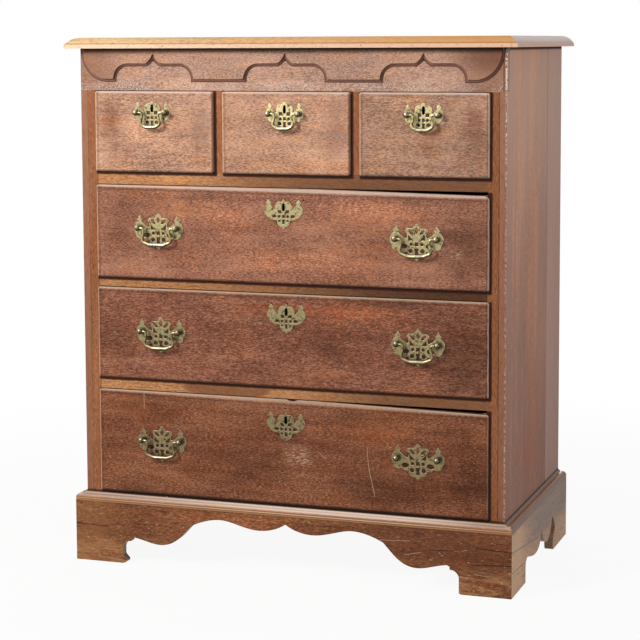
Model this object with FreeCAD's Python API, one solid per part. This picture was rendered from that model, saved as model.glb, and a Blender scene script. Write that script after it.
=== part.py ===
# Oak chest of drawers: three short drawers over three long lipped ones, a fretted frieze,
# a thumb-moulded top and a scrolled bracket base, with pierced brass plates and swinging bails.
# Millimetres. X runs to the right, Y to the back, Z up; the floor is Z = 0.
import FreeCAD, Part
import math
import os

V = FreeCAD.Vector

# ---------------------------------------------------------------- case
case_width = 900.0
case_depth = 500.0
base_clearance = 112.0          # underside of the case above the floor
side_thickness = 14.0
side_front_board = 362.0        # each side is two boards; this is the front one's width
stile_width = 23.0
stile_depth = 22.0
back_thickness = 12.0
back_board_count = 4
back_board_gap = 0.6
bottom_board_thickness = 12.0

# ---------------------------------------------------------------- heights of the front, floor to top
low_opening_height = 215.5
low_blade_thickness = 27.0
middle_opening_height = 187.5
middle_blade_thickness = 22.5
high_opening_height = 190.0
high_blade_thickness = 29.0
short_opening_height = 163.5
frieze_height = 85.5

blade_depth = 60.0
middle_short_width = 264.0      # clear opening of the middle short drawer
divider_width = 26.0
frieze_thickness = 20.0

# ---------------------------------------------------------------- runners, guides and kickers
runner_ledge = 18.0             # how far a runner reaches in under the drawer side
guide_height = 18.0
kicker_height = 22.0

# ---------------------------------------------------------------- top board
top_thickness = 22.0
top_overhang = 26.0
top_back_overhang = 4.0
top_nose_height = 5.5           # upright lower part of the moulded edge
top_mould_width = 25.0

# ---------------------------------------------------------------- fretted board on the frieze
fret_thickness = 6.0
fret_drop = 63.0
fret_soffit = 31.5              # arch soffit below the top of the case
fret_cusp = 11.0                # cusp below the top of the case
fret_cusp_half = 16.0
fret_pier = 109.6               # between the feet of neighbouring arches
fret_jamb = 30.0
fret_side_margin = 9.0
fret_end_width = 46.0

# ---------------------------------------------------------------- bracket base
bracket_thickness = 18.4
bracket_lap = 15.0              # how far the brackets reach up over the case
mould_height = 18.0
mould_slope_width = 5.0
mould_slope_drop = 4.5
mould_fillet = 1.5
mould_nose_height = 7.0
quirk_depth = 1.5
quirk_height = 1.2
quirk_lift = 2.8
foot_length = 106.0             # front foot measured along the front
side_foot_length = 122.0        # front foot measured along the side
foot_waist = 18.0               # height where the foot's inner edge turns upright
foot_scroll_height = 32.0
foot_scroll_width = 19.0
foot_scroll_rise = 16.0
foot_step = 7.0
toe_bulge = 5.0
apron_lobe_reach = 194.0        # outer lobe's lowest point, from the outer corner
apron_lobe_drop = 81.7          # drops are from the top edge of the board
apron_shoulder_reach = 261.0
apron_shoulder_drop = 36.5
apron_arch_from_middle = 138.0
apron_arch_drop = 18.4
apron_inner_lobe = 61.0
apron_inner_drop = 33.5
apron_cusp_drop = 16.5
side_cusp_height = 75.0
side_pendant_height = 34.0
side_lobe_height = 36.0
back_foot_toe = 138.0           # back foot's toe, from the back of the case
side_rear_cusp = 146.0
side_pendant_from_back = 196.0
side_front_cusp = 250.0
back_bracket_length = 92.0
back_bracket_foot = 58.0
back_bracket_thickness = 18.0
foot_block_size = 54.0

# ---------------------------------------------------------------- drawers
lip_thickness = 5.0
lip_overlap = 4.0               # lip past the opening, at both sides and below
lip_round = 3.6
lip_corner = 5.0
lip_mould_gap = 1.5             # bottom drawer's lip over the base moulding
front_top_gap = 1.5
front_body_thickness = 17.0
front_fit_gap = 1.2             # front and drawer sides inside the opening
drawer_side_thickness = 9.0
drawer_side_lap = 12.0          # how far the sides lap into the front
drawer_side_drop = 7.0          # sides stop this far under the top of the opening
drawer_running_gap = 0.3
drawer_bottom_thickness = 6.5
drawer_bottom_lift = 8.0
drawer_groove = 4.0
drawer_back_thickness = 9.0
drawer_back_drop = 5.0
drawer_back_space = 10.0        # free space behind a shut drawer
high_front_droop = 6.0          # worn top edge, lower at the right end
low_front_droop = 6.5
droop_start = 60.0              # from the middle of the front
high_corner_round = 11.0
bolt_bite_width = 23.0
bolt_bite_depth = 3.0

# ---------------------------------------------------------------- locks
lock_width = 64.0
lock_height = 52.5
lock_depth = 11.0
lock_wall = 1.3
lock_top_gap = 1.5
lock_middle = 4.0               # middle of the case, right of the keyhole
lock_nut_gap = 1.0              # a short drawer's lock clears the nuts beside it
bolt_middle = 13.0              # middle of the bolt, right of the keyhole
bolt_width = 16.0
bolt_depth = 5.0
bolt_length = 25.0
bolt_top_gap = 0.5
bolt_play = 0.3
mortise_play = 0.8
mortise_height = 11.0
key_pin_radius = 1.6

# ---------------------------------------------------------------- brasses
plate_thickness = 1.5
long_plate_height = 75.0
short_plate_height = 58.5
key_plate_half_width = 41.0
key_plate_height = 61.4
left_short_shift = -2.8         # brasses set by hand, off the middle of their drawers
middle_short_shift = -1.2
high_key_shift = -4.6
low_key_shift = -2.2
high_left_shift = -2.6
high_left_lift = 4.6
high_right_shift = -3.2
high_right_lift = -1.2
long_post_half = 42.0           # half the distance between the two posts
short_post_half = 31.5
long_handle_reach = 275.0       # middle of a long drawer's handle from the middle of the chest
high_handle_drop = 91.5
middle_handle_drop = 88.0
low_handle_drop = 101.5
short_handle_drop = 43.5
high_key_drop = 37.5
middle_key_drop = 36.0
low_key_drop = 42.0
short_key_rise = 8.6            # keyhole above the post line of a short plate
keyhole_radius = 2.9
keyhole_half_height = 5.2
keyhole_slot = 4.2
post_standoff = 10.5            # bail axis in front of the plate
post_head_radius = 6.2
post_neck_radius = 3.4
post_collar_radius = 5.6
post_collar_thickness = 1.6
shank_radius = 2.4
shank_clearance = 0.1
nut_radius = 5.0
nut_thickness = 3.5
shank_past_nut = 1.5
pin_head_radius = 1.6
pin_shank_radius = 0.8
pin_length = 8.0
pin_head_height = 0.7
escutcheon_pin_reach = 31.0
escutcheon_pin_drop = 8.0
bail_wire_radius = 2.3
bail_bar_radius = 3.9
bail_pintle_length = 4.0        # how far a bail end enters its post
bail_running_clearance = 0.06
bail_inset = 12.0               # bail arms inside the posts
long_bail_drop = 34.0
short_bail_drop = 29.5
bail_shoulder = 4.2             # straight length between the bend and the post
bail_bend = 4.5
bail_waist_inset = 1.2          # the arms lean in at the waist and swell out at the belly
bail_belly_bulge = 3.0
bail_waist = 0.34               # places down the arm, as shares of the bail's drop
bail_belly = 0.80
bail_bar_share = 0.5            # flat part of the bar, as a share of its half length

# ---------------------------------------------------------------- worked out from the sizes above
half_width = case_width / 2.0
front_y = (top_overhang - top_back_overhang - case_depth) / 2.0
back_y = front_y + case_depth
back_inside_y = back_y - back_thickness
inner_half = half_width - side_thickness
opening_half = inner_half - stile_width
short_opening_inner = middle_short_width / 2.0 + divider_width
short_pitch = (opening_half + short_opening_inner) / 2.0
fret_arch_half = (short_pitch - fret_pier) / 2.0

bracket_height = base_clearance + bracket_lap
low_z = bracket_height + mould_height + lip_mould_gap + lip_overlap
low_top_z = low_z + low_opening_height
middle_z = low_top_z + low_blade_thickness
middle_top_z = middle_z + middle_opening_height
high_z = middle_top_z + middle_blade_thickness
high_top_z = high_z + high_opening_height
short_z = high_top_z + high_blade_thickness
short_top_z = short_z + short_opening_height
case_top_z = short_top_z + frieze_height
total_height = case_top_z + top_thickness

lip_y = front_y - lip_thickness
plate_y = lip_y - plate_thickness
bail_y = plate_y - post_standoff
inside_front_y = front_y + front_body_thickness
drawer_back_y = back_inside_y - drawer_back_space

TINY = 0.01
BIG = 4.0 * (case_width + case_depth + total_height)


# ================================================================ helpers
def box(x0, x1, y0, y1, z0, z1):
    """A box between three pairs of limits."""
    return Part.makeBox(x1 - x0, y1 - y0, z1 - z0, V(x0, y0, z0))


def front_point(point, y=0.0):
    """A drawing point (across, up) as a point on an upright plane that faces the front."""
    return V(point[0], y, point[1])


def side_point(point, y=0.0):
    """A drawing point (back, up) as a point on an upright plane that faces the side."""
    return V(0.0, point[0], point[1])


def wire_of(start, moves, place=front_point):
    """A closed wire from a start point and moves: line end, arc middle end, curve points."""
    edges = []
    here = start
    for kind, *points in moves:
        if kind == "line":
            edges.append(Part.LineSegment(place(here), place(points[0])).toShape())
        elif kind == "arc":
            edges.append(Part.Arc(place(here), place(points[0]), place(points[1])).toShape())
        else:
            curve = Part.BSplineCurve()
            curve.interpolate([place(point) for point in [here] + points])
            edges.append(curve.toShape())
        here = points[-1]
    if math.dist(here, start) > TINY:
        edges.append(Part.LineSegment(place(here), place(start)).toShape())
    return Part.Wire(edges)


def slab(start, moves, y0, y1, place=front_point):
    """The outline drawn on the front plane, as a slab between two depths."""
    face = Part.Face(wire_of(start, moves, place))
    solid = face.extrude(V(0, y1 - y0, 0))
    solid.translate(V(0, y0, 0))
    return solid


def side_slab(start, moves, x0, x1):
    """The outline drawn on the side plane, as a slab between two x places."""
    face = Part.Face(wire_of(start, moves, side_point))
    solid = face.extrude(V(x1 - x0, 0, 0))
    solid.translate(V(x0, 0, 0))
    return solid


def mirrored(shape):
    """The shape's mirror image on the other side of the chest."""
    return shape.mirror(V(0, 0, 0), V(1, 0, 0))


def both_halves(half):
    """A symmetric solid from its right half."""
    return half.fuse(mirrored(half)).removeSplitter()


def moved(shape, x=0.0, y=0.0, z=0.0):
    """A copy of the shape moved by x, y and z."""
    copy = shape.copy()
    copy.translate(V(x, y, z))
    return copy


def cylinder_y(x, z, radius, y0, y1):
    """A cylinder along Y."""
    return Part.makeCylinder(radius, y1 - y0, V(x, y0, z), V(0, 1, 0))


def ring_of(points):
    """Moves for a polygon through the points, the first of them being the start."""
    return points[0], [("line", point) for point in points[1:]]


def rounded_side(distance):
    """Where a quarter ellipse of this size is at its half-way angle, from its centre."""
    return distance * math.sin(math.radians(45.0))


# ================================================================ the case
def make_top_board():
    """One board, thumb moulded at the front and both ends, square at the back."""
    nose = top_nose_height
    rim = top_overhang
    inner = rim - top_mould_width
    middle = (inner + top_mould_width * 0.62, nose + (top_thickness - nose) * 0.66)

    def edge_moves(edge, sign):
        return [
            ("line", (edge + sign * rim, 0.0)),
            ("line", (edge + sign * rim, nose)),
            ("arc", (edge + sign * middle[0], middle[1]), (edge + sign * inner, top_thickness)),
        ]

    across = slab((-half_width, 0.0), edge_moves(half_width, 1)
                  + [("line", (-half_width - inner, top_thickness)),
                     ("arc", (-half_width - middle[0], middle[1]), (-half_width - rim, nose)),
                     ("line", (-half_width - rim, 0.0))], -BIG, BIG)
    rear = back_y + top_back_overhang
    along = side_slab((rear, 0.0), edge_moves(front_y, -1) + [("line", (rear, top_thickness))],
                      -BIG, BIG)
    return moved(across.common(along), z=case_top_z)


def make_side(sign):
    """A case side of two upright boards; the frieze rail laps over the front one's top corner."""
    seam_y = front_y + side_front_board
    x0, x1 = inner_half, half_width
    front_board = box(x0, x1, front_y, seam_y, base_clearance, case_top_z)
    front_board = front_board.cut(box(x0 - 1, x1 + 1, front_y - 1, front_y + frieze_thickness,
                                      short_top_z, case_top_z + 1))
    rear_board = box(x0, x1, seam_y, back_y, base_clearance, case_top_z)
    boards = Part.makeCompound([front_board, rear_board])
    return boards if sign > 0 else mirrored(boards)


def make_stiles():
    """Upright strips inside the front edges of the sides, beside the drawers."""
    right = box(opening_half, inner_half, front_y, front_y + stile_depth,
                base_clearance, short_top_z)
    return Part.makeCompound([mirrored(right), right])


def bolt_mortise(x, z, height):
    """The room a lock bolt needs above it."""
    y0, y1 = bolt_limits_y()
    return box(x + bolt_middle - bolt_width / 2 - mortise_play,
               x + bolt_middle + bolt_width / 2 + mortise_play,
               y0 - mortise_play, y1 + mortise_play, z - 1, z + height)


def make_frieze_rail():
    """The rail over the short drawers, with a mortise for each of their bolts."""
    rail = box(-half_width, half_width, front_y, front_y + frieze_thickness,
               short_top_z, case_top_z)
    for drawer in SHORT_DRAWERS:
        rail = rail.cut(bolt_mortise(drawer["key"][0], short_top_z, mortise_height))
    return rail


def fret_arch_moves(middle):
    """Underside of one cusped arch, run from its right foot to its left foot."""
    bottom = case_top_z - fret_drop
    soffit = case_top_z - fret_soffit
    peak = case_top_z - fret_cusp
    foot = fret_arch_half
    spring = fret_jamb
    rise = soffit - bottom
    bend_in = spring - rounded_side(spring)
    bend_up = rounded_side(rise)
    dip = fret_cusp_half * 0.4
    lift = (peak - soffit) * 0.4
    return [
        ("line", (middle + foot, bottom)),
        ("arc", (middle + foot - bend_in, bottom + bend_up), (middle + foot - spring, soffit)),
        ("line", (middle + fret_cusp_half, soffit)),
        ("arc", (middle + dip, soffit + lift), (middle, peak)),
        ("arc", (middle - dip, soffit + lift), (middle - fret_cusp_half, soffit)),
        ("line", (middle - foot + spring, soffit)),
        ("arc", (middle - foot + bend_in, bottom + bend_up), (middle - foot, bottom)),
    ]


def make_frieze_fret():
    """The thin board cut into three cusped arches, planted on the frieze rail."""
    bottom = case_top_z - fret_drop
    end = half_width - fret_side_margin
    inner = end - fret_end_width
    bend = (inner + rounded_side(fret_end_width), case_top_z - rounded_side(fret_drop))
    moves = [("line", (end, case_top_z)), ("arc", bend, (inner, bottom))]
    for middle in (short_pitch, 0.0, -short_pitch):
        moves += fret_arch_moves(middle)
    moves += [("line", (-inner, bottom)), ("arc", (-bend[0], bend[1]), (-end, case_top_z))]
    return slab((0.0, case_top_z), moves, front_y - fret_thickness, front_y)


def make_dividers():
    """Two upright partitions between the short drawers."""
    inner = middle_short_width / 2
    right = box(inner, inner + divider_width, front_y, front_y + blade_depth,
                short_z, short_top_z)
    return Part.makeCompound([mirrored(right), right])


def make_blade(z0, z1):
    """A cross rail between the stiles that widens behind them to reach the sides."""
    front = box(-opening_half, opening_half, front_y, front_y + stile_depth, z0, z1)
    rear = box(-inner_half, inner_half, front_y + stile_depth, front_y + blade_depth, z0, z1)
    return front.fuse(rear).removeSplitter()


def make_drawer_blades():
    """The four cross rails; those over a long drawer are mortised for its bolt."""
    blades = [make_blade(base_clearance, low_z)]
    tops = (short_z, high_z, middle_z)
    for drawer, top in zip(LONG_DRAWERS, tops):
        mortise = bolt_mortise(drawer["key"][0], drawer["z1"], mortise_height)
        blades.append(make_blade(drawer["z1"], top).cut(mortise))
    return Part.makeCompound(blades)


def make_drawer_runners():
    """Side runners with guides for every row, centre runners for the short ones, kickers."""
    y0, y1 = front_y + blade_depth, back_inside_y
    ledge = opening_half - runner_ledge
    strips = []
    rows = (
        (base_clearance + bottom_board_thickness, low_z),
        (low_top_z, middle_z),
        (middle_top_z, high_z),
        (high_top_z, short_z),
    )
    for z0, z1 in rows:
        runner = box(ledge, inner_half, y0, y1, z0, z1)
        guide = box(opening_half, inner_half, front_y + stile_depth, y1, z1, z1 + guide_height)
        strips += [runner, mirrored(runner), guide, mirrored(guide)]
    inner, outer = middle_short_width / 2, short_opening_inner
    centre = box(inner - runner_ledge, outer + runner_ledge, y0, y1, high_top_z, short_z)
    centre_guide = box(inner, outer, y0, y1, short_z, short_z + guide_height)
    kicker_y = front_y + frieze_thickness
    kicker = box(inner - runner_ledge, outer + runner_ledge, kicker_y, y1,
                 short_top_z, short_top_z + kicker_height)
    side_kicker = box(ledge, inner_half, kicker_y, y1, short_top_z, short_top_z + kicker_height)
    for strip in (centre, centre_guide, kicker, side_kicker):
        strips += [strip, mirrored(strip)]
    return Part.makeCompound(strips)


def make_back_boards():
    """Upright boards nailed in between the sides."""
    pitch = 2 * inner_half / back_board_count
    boards = []
    for index in range(back_board_count):
        x0 = -inner_half + index * pitch
        x1 = x0 + pitch
        left_gap = back_board_gap / 2 if index else 0.0
        right_gap = back_board_gap / 2 if index < back_board_count - 1 else 0.0
        boards.append(box(x0 + left_gap, x1 - right_gap, back_inside_y, back_y,
                          base_clearance, case_top_z))
    return Part.makeCompound(boards)


def make_bottom_board():
    """The board that closes the case underneath."""
    return box(-inner_half, inner_half, front_y + blade_depth, back_inside_y,
               base_clearance, base_clearance + bottom_board_thickness)


# ================================================================ the bracket base
def mitre_wedge(side_piece):
    """What is beyond the right-hand mitre, as seen from a front piece or from a side piece."""
    reach = 3 * bracket_thickness
    corner = V(half_width, front_y, 0)
    tip = V(half_width + reach, front_y - reach, 0)
    if side_piece:
        third = V(half_width - 1, front_y - reach, 0)
        fourth = V(half_width - 1, front_y, 0)
    else:
        third = V(half_width + reach, front_y + 1, 0)
        fourth = V(half_width, front_y + 1, 0)
    face = Part.Face(Part.makePolygon([corner, tip, third, fourth, corner]))
    return face.extrude(V(0, 0, total_height))


def mould_moves():
    """Section of the base moulding: distance out from the case and height."""
    out = bracket_thickness
    top = bracket_height + mould_height
    slope_end = (mould_slope_width, top - mould_slope_drop)
    bead_start = (mould_slope_width + mould_fillet, slope_end[1])
    nose = (out, bracket_height + mould_nose_height)
    bend = (bead_start[0] + (out - bead_start[0]) * 0.76,
            nose[1] + (bead_start[1] - nose[1]) * 0.72)
    quirk_top = bracket_height + quirk_lift + quirk_height
    return (0.0, top), [
        ("arc", (mould_slope_width * 0.62, top - mould_slope_drop * 0.42), slope_end),
        ("line", bead_start),
        ("arc", bend, nose),
        ("line", (out, quirk_top)),
        ("line", (out - quirk_depth, quirk_top)),
        ("line", (out - quirk_depth, quirk_top - quirk_height)),
        ("line", (out, quirk_top - quirk_height)),
        ("line", (out, bracket_height)),
        ("line", (0.0, bracket_height)),
    ]


def make_base_moulding():
    """Three mitred lengths of moulding round the foot of the case."""
    start, moves = mould_moves()

    def outward(point):
        return V(0.0, front_y - point[0], point[1])

    def sideways(point):
        return V(half_width + point[0], 0.0, point[1])

    reach = half_width + bracket_thickness
    front = Part.Face(wire_of(start, moves, outward)).extrude(V(2 * reach, 0, 0))
    front = moved(front, x=-reach)
    wedge = mitre_wedge(side_piece=False)
    front = front.cut(wedge).cut(mirrored(wedge))
    side = Part.Face(wire_of(start, moves, sideways)).extrude(
        V(0, case_depth + bracket_thickness, 0))
    side = moved(side, y=front_y - bracket_thickness).cut(mitre_wedge(side_piece=True))
    return Part.makeCompound([front, mirrored(side), side])


def front_apron_moves(bulge):
    """Lower edge of the front bracket, from the middle cusp out to the foot's outer corner."""
    outer = half_width + bracket_thickness
    foot = outer - foot_length
    lobe = outer - apron_lobe_reach
    lobe_height = bracket_height - apron_lobe_drop
    shoulder_height = bracket_height - apron_shoulder_drop
    arch_height = bracket_height - apron_arch_drop
    inner_height = bracket_height - apron_inner_drop
    shoulder = outer - apron_shoulder_reach
    arch = min(apron_arch_from_middle, (apron_inner_lobe + shoulder) / 2 + 4)
    step = foot - foot_scroll_width
    scroll_top = foot_scroll_height + foot_scroll_rise
    step_top = scroll_top + foot_step
    rise = shoulder_height - lobe_height
    inner_gap = arch - apron_inner_lobe
    inner_rise = arch_height - inner_height
    moves = [
        ("curve", (apron_inner_lobe * 0.5, inner_height + 3.4),
         (apron_inner_lobe, inner_height),
         (apron_inner_lobe + inner_gap * 0.5, inner_height + inner_rise * 0.46),
         (arch, arch_height),
         ((arch + shoulder) / 2 + 6, arch_height - 6.0),
         (shoulder, shoulder_height)),
        ("curve", (shoulder + (lobe - shoulder) * 0.30, lobe_height + rise * 0.52),
         (shoulder + (lobe - shoulder) * 0.62, lobe_height + rise * 0.15),
         (lobe, lobe_height),
         ((lobe + step) / 2, lobe_height + (step_top - lobe_height) * 0.56),
         (step - 5.0, step_top + 1.8)),
        ("line", (step, step_top - 1.0)),
        ("line", (step, scroll_top)),
        ("arc", (step + rounded_side(foot_scroll_width),
                 foot_scroll_height + rounded_side(foot_scroll_rise)), (foot, foot_scroll_height)),
        ("line", (foot, foot_waist)),
    ]
    if bulge > 0:
        moves += [("curve", (foot - bulge * 0.8, foot_waist * 0.72),
                   (foot - 1.7 * bulge, foot_waist * 0.4), (foot, 0.0))]
    else:
        moves += [("line", (foot, 2.5)), ("line", (foot + 3.5, 0.0))]
    moves += [("line", (outer, 0.0)), ("line", (outer, bracket_height)),
              ("line", (0.0, bracket_height))]
    return moves


def make_bracket_front():
    """The front of the base: two feet and a cusped apron in one board, mitred at the ends."""
    y0, y1 = front_y - bracket_thickness, front_y
    cusp = (0.0, bracket_height - apron_cusp_drop)
    left = mirrored(slab(cusp, front_apron_moves(toe_bulge), y0, y1))
    right = slab(cusp, front_apron_moves(0.0), y0, y1)
    wedge = mitre_wedge(side_piece=False)
    return right.fuse(left).removeSplitter().cut(wedge).cut(mirrored(wedge))


def side_apron_moves():
    """Outline of a side bracket, from its front lower corner back along the scrolled edge."""
    start = front_y - bracket_thickness
    foot = start + side_foot_length
    step = foot + foot_scroll_width
    scroll_top = foot_scroll_height + foot_scroll_rise
    cusp_a = back_y - side_front_cusp
    pendant = back_y - side_pendant_from_back
    cusp_b = back_y - side_rear_cusp
    toe = back_y - back_foot_toe
    waist = back_y - back_foot_toe + 22.0
    lobe = step + (cusp_a - step) * 0.56
    return [
        ("line", (foot, 0.0)),
        ("line", (foot, foot_scroll_height)),
        ("arc", (foot + foot_scroll_width - rounded_side(foot_scroll_width),
                 foot_scroll_height + rounded_side(foot_scroll_rise)), (step, scroll_top)),
        ("curve", ((step + lobe) / 2, side_lobe_height + 4.0), (lobe, side_lobe_height),
         (lobe + (cusp_a - lobe) * 0.66, side_lobe_height + 8.0), (cusp_a, side_cusp_height)),
        ("curve", (cusp_a + 14.0, side_pendant_height + 19.0),
         ((cusp_a + pendant) / 2 + 6.0, side_pendant_height + 5.0), (pendant, side_pendant_height),
         ((cusp_b + pendant) / 2 - 4.0, side_pendant_height + 5.0),
         (cusp_b - 12.0, side_pendant_height + 19.0), (cusp_b, side_cusp_height)),
        ("curve", (waist - 8.0, foot_scroll_height + 26.0), (waist, foot_scroll_height + 10.0)),
        ("curve", (toe + 6.0, foot_waist + 10.0), (toe, foot_waist * 0.6), (toe + 6.0, 0.0)),
        ("line", (back_y, 0.0)),
        ("line", (back_y, bracket_height)),
        ("line", (start, bracket_height)),
    ]


def make_side_brackets():
    """The two sides of the base, mitred to the front."""
    start = (front_y - bracket_thickness, 0.0)
    right = side_slab(start, side_apron_moves(), half_width, half_width + bracket_thickness)
    right = right.cut(mitre_wedge(side_piece=True))
    return Part.makeCompound([mirrored(right), right])


def make_back_brackets():
    """Short shaped brackets across the back corners, under the case."""
    y0, y1 = back_y - back_bracket_thickness, back_y
    inner = half_width - back_bracket_length
    foot = half_width - back_bracket_foot
    moves = [
        ("line", (half_width, base_clearance)),
        ("line", (inner, base_clearance)),
        ("curve", (inner + 4.0, base_clearance * 0.62), (foot, base_clearance * 0.36)),
        ("line", (foot, 0.0)),
    ]
    right = slab((half_width, 0.0), moves, y0, y1)
    return Part.makeCompound([mirrored(right), right])


def make_foot_blocks():
    """Glue blocks that stand in the corners of the base and carry the case."""
    x0, x1 = half_width - foot_block_size, half_width
    front = box(x0, x1, front_y, front_y + foot_block_size, 0.0, base_clearance)
    rear_y = back_y - back_bracket_thickness
    rear = box(x0, x1, rear_y - foot_block_size, rear_y, 0.0, base_clearance)
    return Part.makeCompound([mirrored(front), front, mirrored(rear), rear])


# ================================================================ the drawers
def drawer_row(name, x0, x1, z0, z1, handles, key, droop=0.0, corner=lip_corner, bite=False,
               long=True):
    """What one drawer is, worked out from its opening; handles and key are (across, drop)."""
    top = z1 - front_top_gap
    return {
        "name": name, "x0": x0, "x1": x1, "z0": z0, "z1": z1, "top": top,
        "handles": {bail: (x, top - drop) for bail, (x, drop) in handles.items()},
        "key": (key[0], top - key[1]), "droop": droop, "corner": corner, "bite": bite,
        "long": long,
    }


def short_row(name, x0, x1, shift=0.0):
    """A short drawer between two x places, its brasses a little off its middle."""
    middle = (x0 + x1) / 2 + shift
    return drawer_row(name, x0, x1, short_z, short_top_z, {"bail": (middle, short_handle_drop)},
                      (middle, short_handle_drop - short_key_rise), long=False)


def long_row(name, z0, z1, handles, key, **details):
    """A long drawer across the whole case."""
    return drawer_row(name, -opening_half, opening_half, z0, z1, handles, key, **details)


def handle_pair(drop, left_shift=0.0, left_lift=0.0, right_shift=0.0, right_lift=0.0):
    """Places of a long drawer's two handles, each as (across, below the front's top edge)."""
    return {
        "bail_left": (left_shift - long_handle_reach, drop - left_lift),
        "bail_right": (right_shift + long_handle_reach, drop - right_lift),
    }


SHORT_DRAWERS = [
    short_row("short_left", -opening_half, -short_opening_inner, left_short_shift),
    short_row("short_middle", -middle_short_width / 2, middle_short_width / 2,
              middle_short_shift),
    short_row("short_right", short_opening_inner, opening_half),
]
LONG_DRAWERS = [
    long_row("long_high", high_z, high_top_z,
             handle_pair(high_handle_drop, high_left_shift, high_left_lift,
                         high_right_shift, high_right_lift),
             (high_key_shift, high_key_drop), droop=high_front_droop, corner=high_corner_round),
    long_row("long_middle", middle_z, middle_top_z, handle_pair(middle_handle_drop),
             (0.0, middle_key_drop)),
    long_row("long_low", low_z, low_top_z, handle_pair(low_handle_drop),
             (low_key_shift, low_key_drop), droop=low_front_droop, bite=True),
]
DRAWERS = SHORT_DRAWERS + LONG_DRAWERS
LOST_BAIL = ("long_low", "bail_right")


def post_half(drawer):
    """Half the post spacing of this drawer's handles."""
    return long_post_half if drawer["long"] else short_post_half


def keyhole(x, z, y0, y1):
    """A keyhole: two round ends and a narrower slot."""
    upper = cylinder_y(x, z + keyhole_half_height, keyhole_radius, y0, y1)
    lower = cylinder_y(x, z - keyhole_half_height, keyhole_radius, y0, y1)
    slot = box(x - keyhole_slot / 2, x + keyhole_slot / 2, y0, y1,
               z - keyhole_half_height, z + keyhole_half_height)
    return slot.fuse(upper).fuse(lower)


def lock_limits(drawer):
    """Outside limits of the lock case, let in flush behind the front."""
    half = short_post_half - nut_radius - lock_nut_gap
    x = drawer["key"][0]
    if drawer["long"]:
        half = lock_width / 2
        x += lock_middle
    top = drawer["top"] - lock_top_gap
    return (x - half, x + half, inside_front_y - lock_depth, inside_front_y,
            top - lock_height, top)


def bolt_limits_y():
    """Front and back of every bolt, in the middle of the lock's depth."""
    middle = inside_front_y - lock_depth / 2
    return middle - bolt_depth / 2, middle + bolt_depth / 2


def escutcheon_pins(drawer):
    """Places of the two pins that hold a long drawer's keyhole plate."""
    if not drawer["long"]:
        return []
    x, z = drawer["key"]
    return [(x + sign * escutcheon_pin_reach, z - escutcheon_pin_drop) for sign in (-1, 1)]


def post_places(drawer):
    """Places of all the posts of a drawer."""
    spread = post_half(drawer)
    return [(x + sign * spread, z) for x, z in drawer["handles"].values() for sign in (-1, 1)]


def side_limits(drawer):
    """Outer faces and height limits of the drawer's sides."""
    return (drawer["x0"] + front_fit_gap, drawer["x1"] - front_fit_gap,
            drawer["z0"] + drawer_running_gap, drawer["z1"] - drawer_side_drop)


def drawer_bottom(drawer):
    """The bottom, held in grooves of the sides and the front."""
    x0, x1, z0, _ = side_limits(drawer)
    reach = drawer_side_thickness - drawer_groove
    z = z0 + drawer_bottom_lift
    return box(x0 + reach, x1 - reach, inside_front_y - drawer_groove, drawer_back_y,
               z, z + drawer_bottom_thickness)


def drawer_side_boards(drawer):
    """Left and right side boards, not yet grooved."""
    x0, x1, z0, z1 = side_limits(drawer)
    y0 = inside_front_y - drawer_side_lap
    left = box(x0, x0 + drawer_side_thickness, y0, drawer_back_y, z0, z1)
    right = box(x1 - drawer_side_thickness, x1, y0, drawer_back_y, z0, z1)
    return left, right


def front_outline(drawer):
    """Outline of the lipped face; the top may be worn down towards the right."""
    x0, x1 = drawer["x0"] - lip_overlap, drawer["x1"] + lip_overlap
    z0, top = drawer["z0"] - lip_overlap, drawer["top"]
    small, big = lip_corner, drawer["corner"]
    low_top = top - drawer["droop"]
    back_off = small - rounded_side(small)
    big_off = big - rounded_side(big)
    moves = []
    if drawer["droop"]:
        moves.append(("line", (droop_start, top)))
    moves += [
        ("line", (x1 - big, low_top)),
        ("arc", (x1 - big_off, low_top - big_off), (x1, low_top - big)),
        ("line", (x1, z0 + small)),
        ("arc", (x1 - back_off, z0 + back_off), (x1 - small, z0)),
        ("line", (x0 + small, z0)),
        ("arc", (x0 + back_off, z0 + back_off), (x0, z0 + small)),
        ("line", (x0, top - small)),
        ("arc", (x0 + back_off, top - back_off), (x0 + small, top)),
    ]
    return (x0 + small, top), moves


def bolt_bite(drawer):
    """The shallow rounded bite above the bolt in the bottom drawer's top edge."""
    half = bolt_bite_width / 2
    radius = (half * half + bolt_bite_depth * bolt_bite_depth) / (2 * bolt_bite_depth)
    y1 = bolt_limits_y()[1]
    return cylinder_y(drawer["key"][0] + bolt_middle, drawer["top"] - bolt_bite_depth + radius,
                      radius, lip_y - 1, y1)


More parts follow.
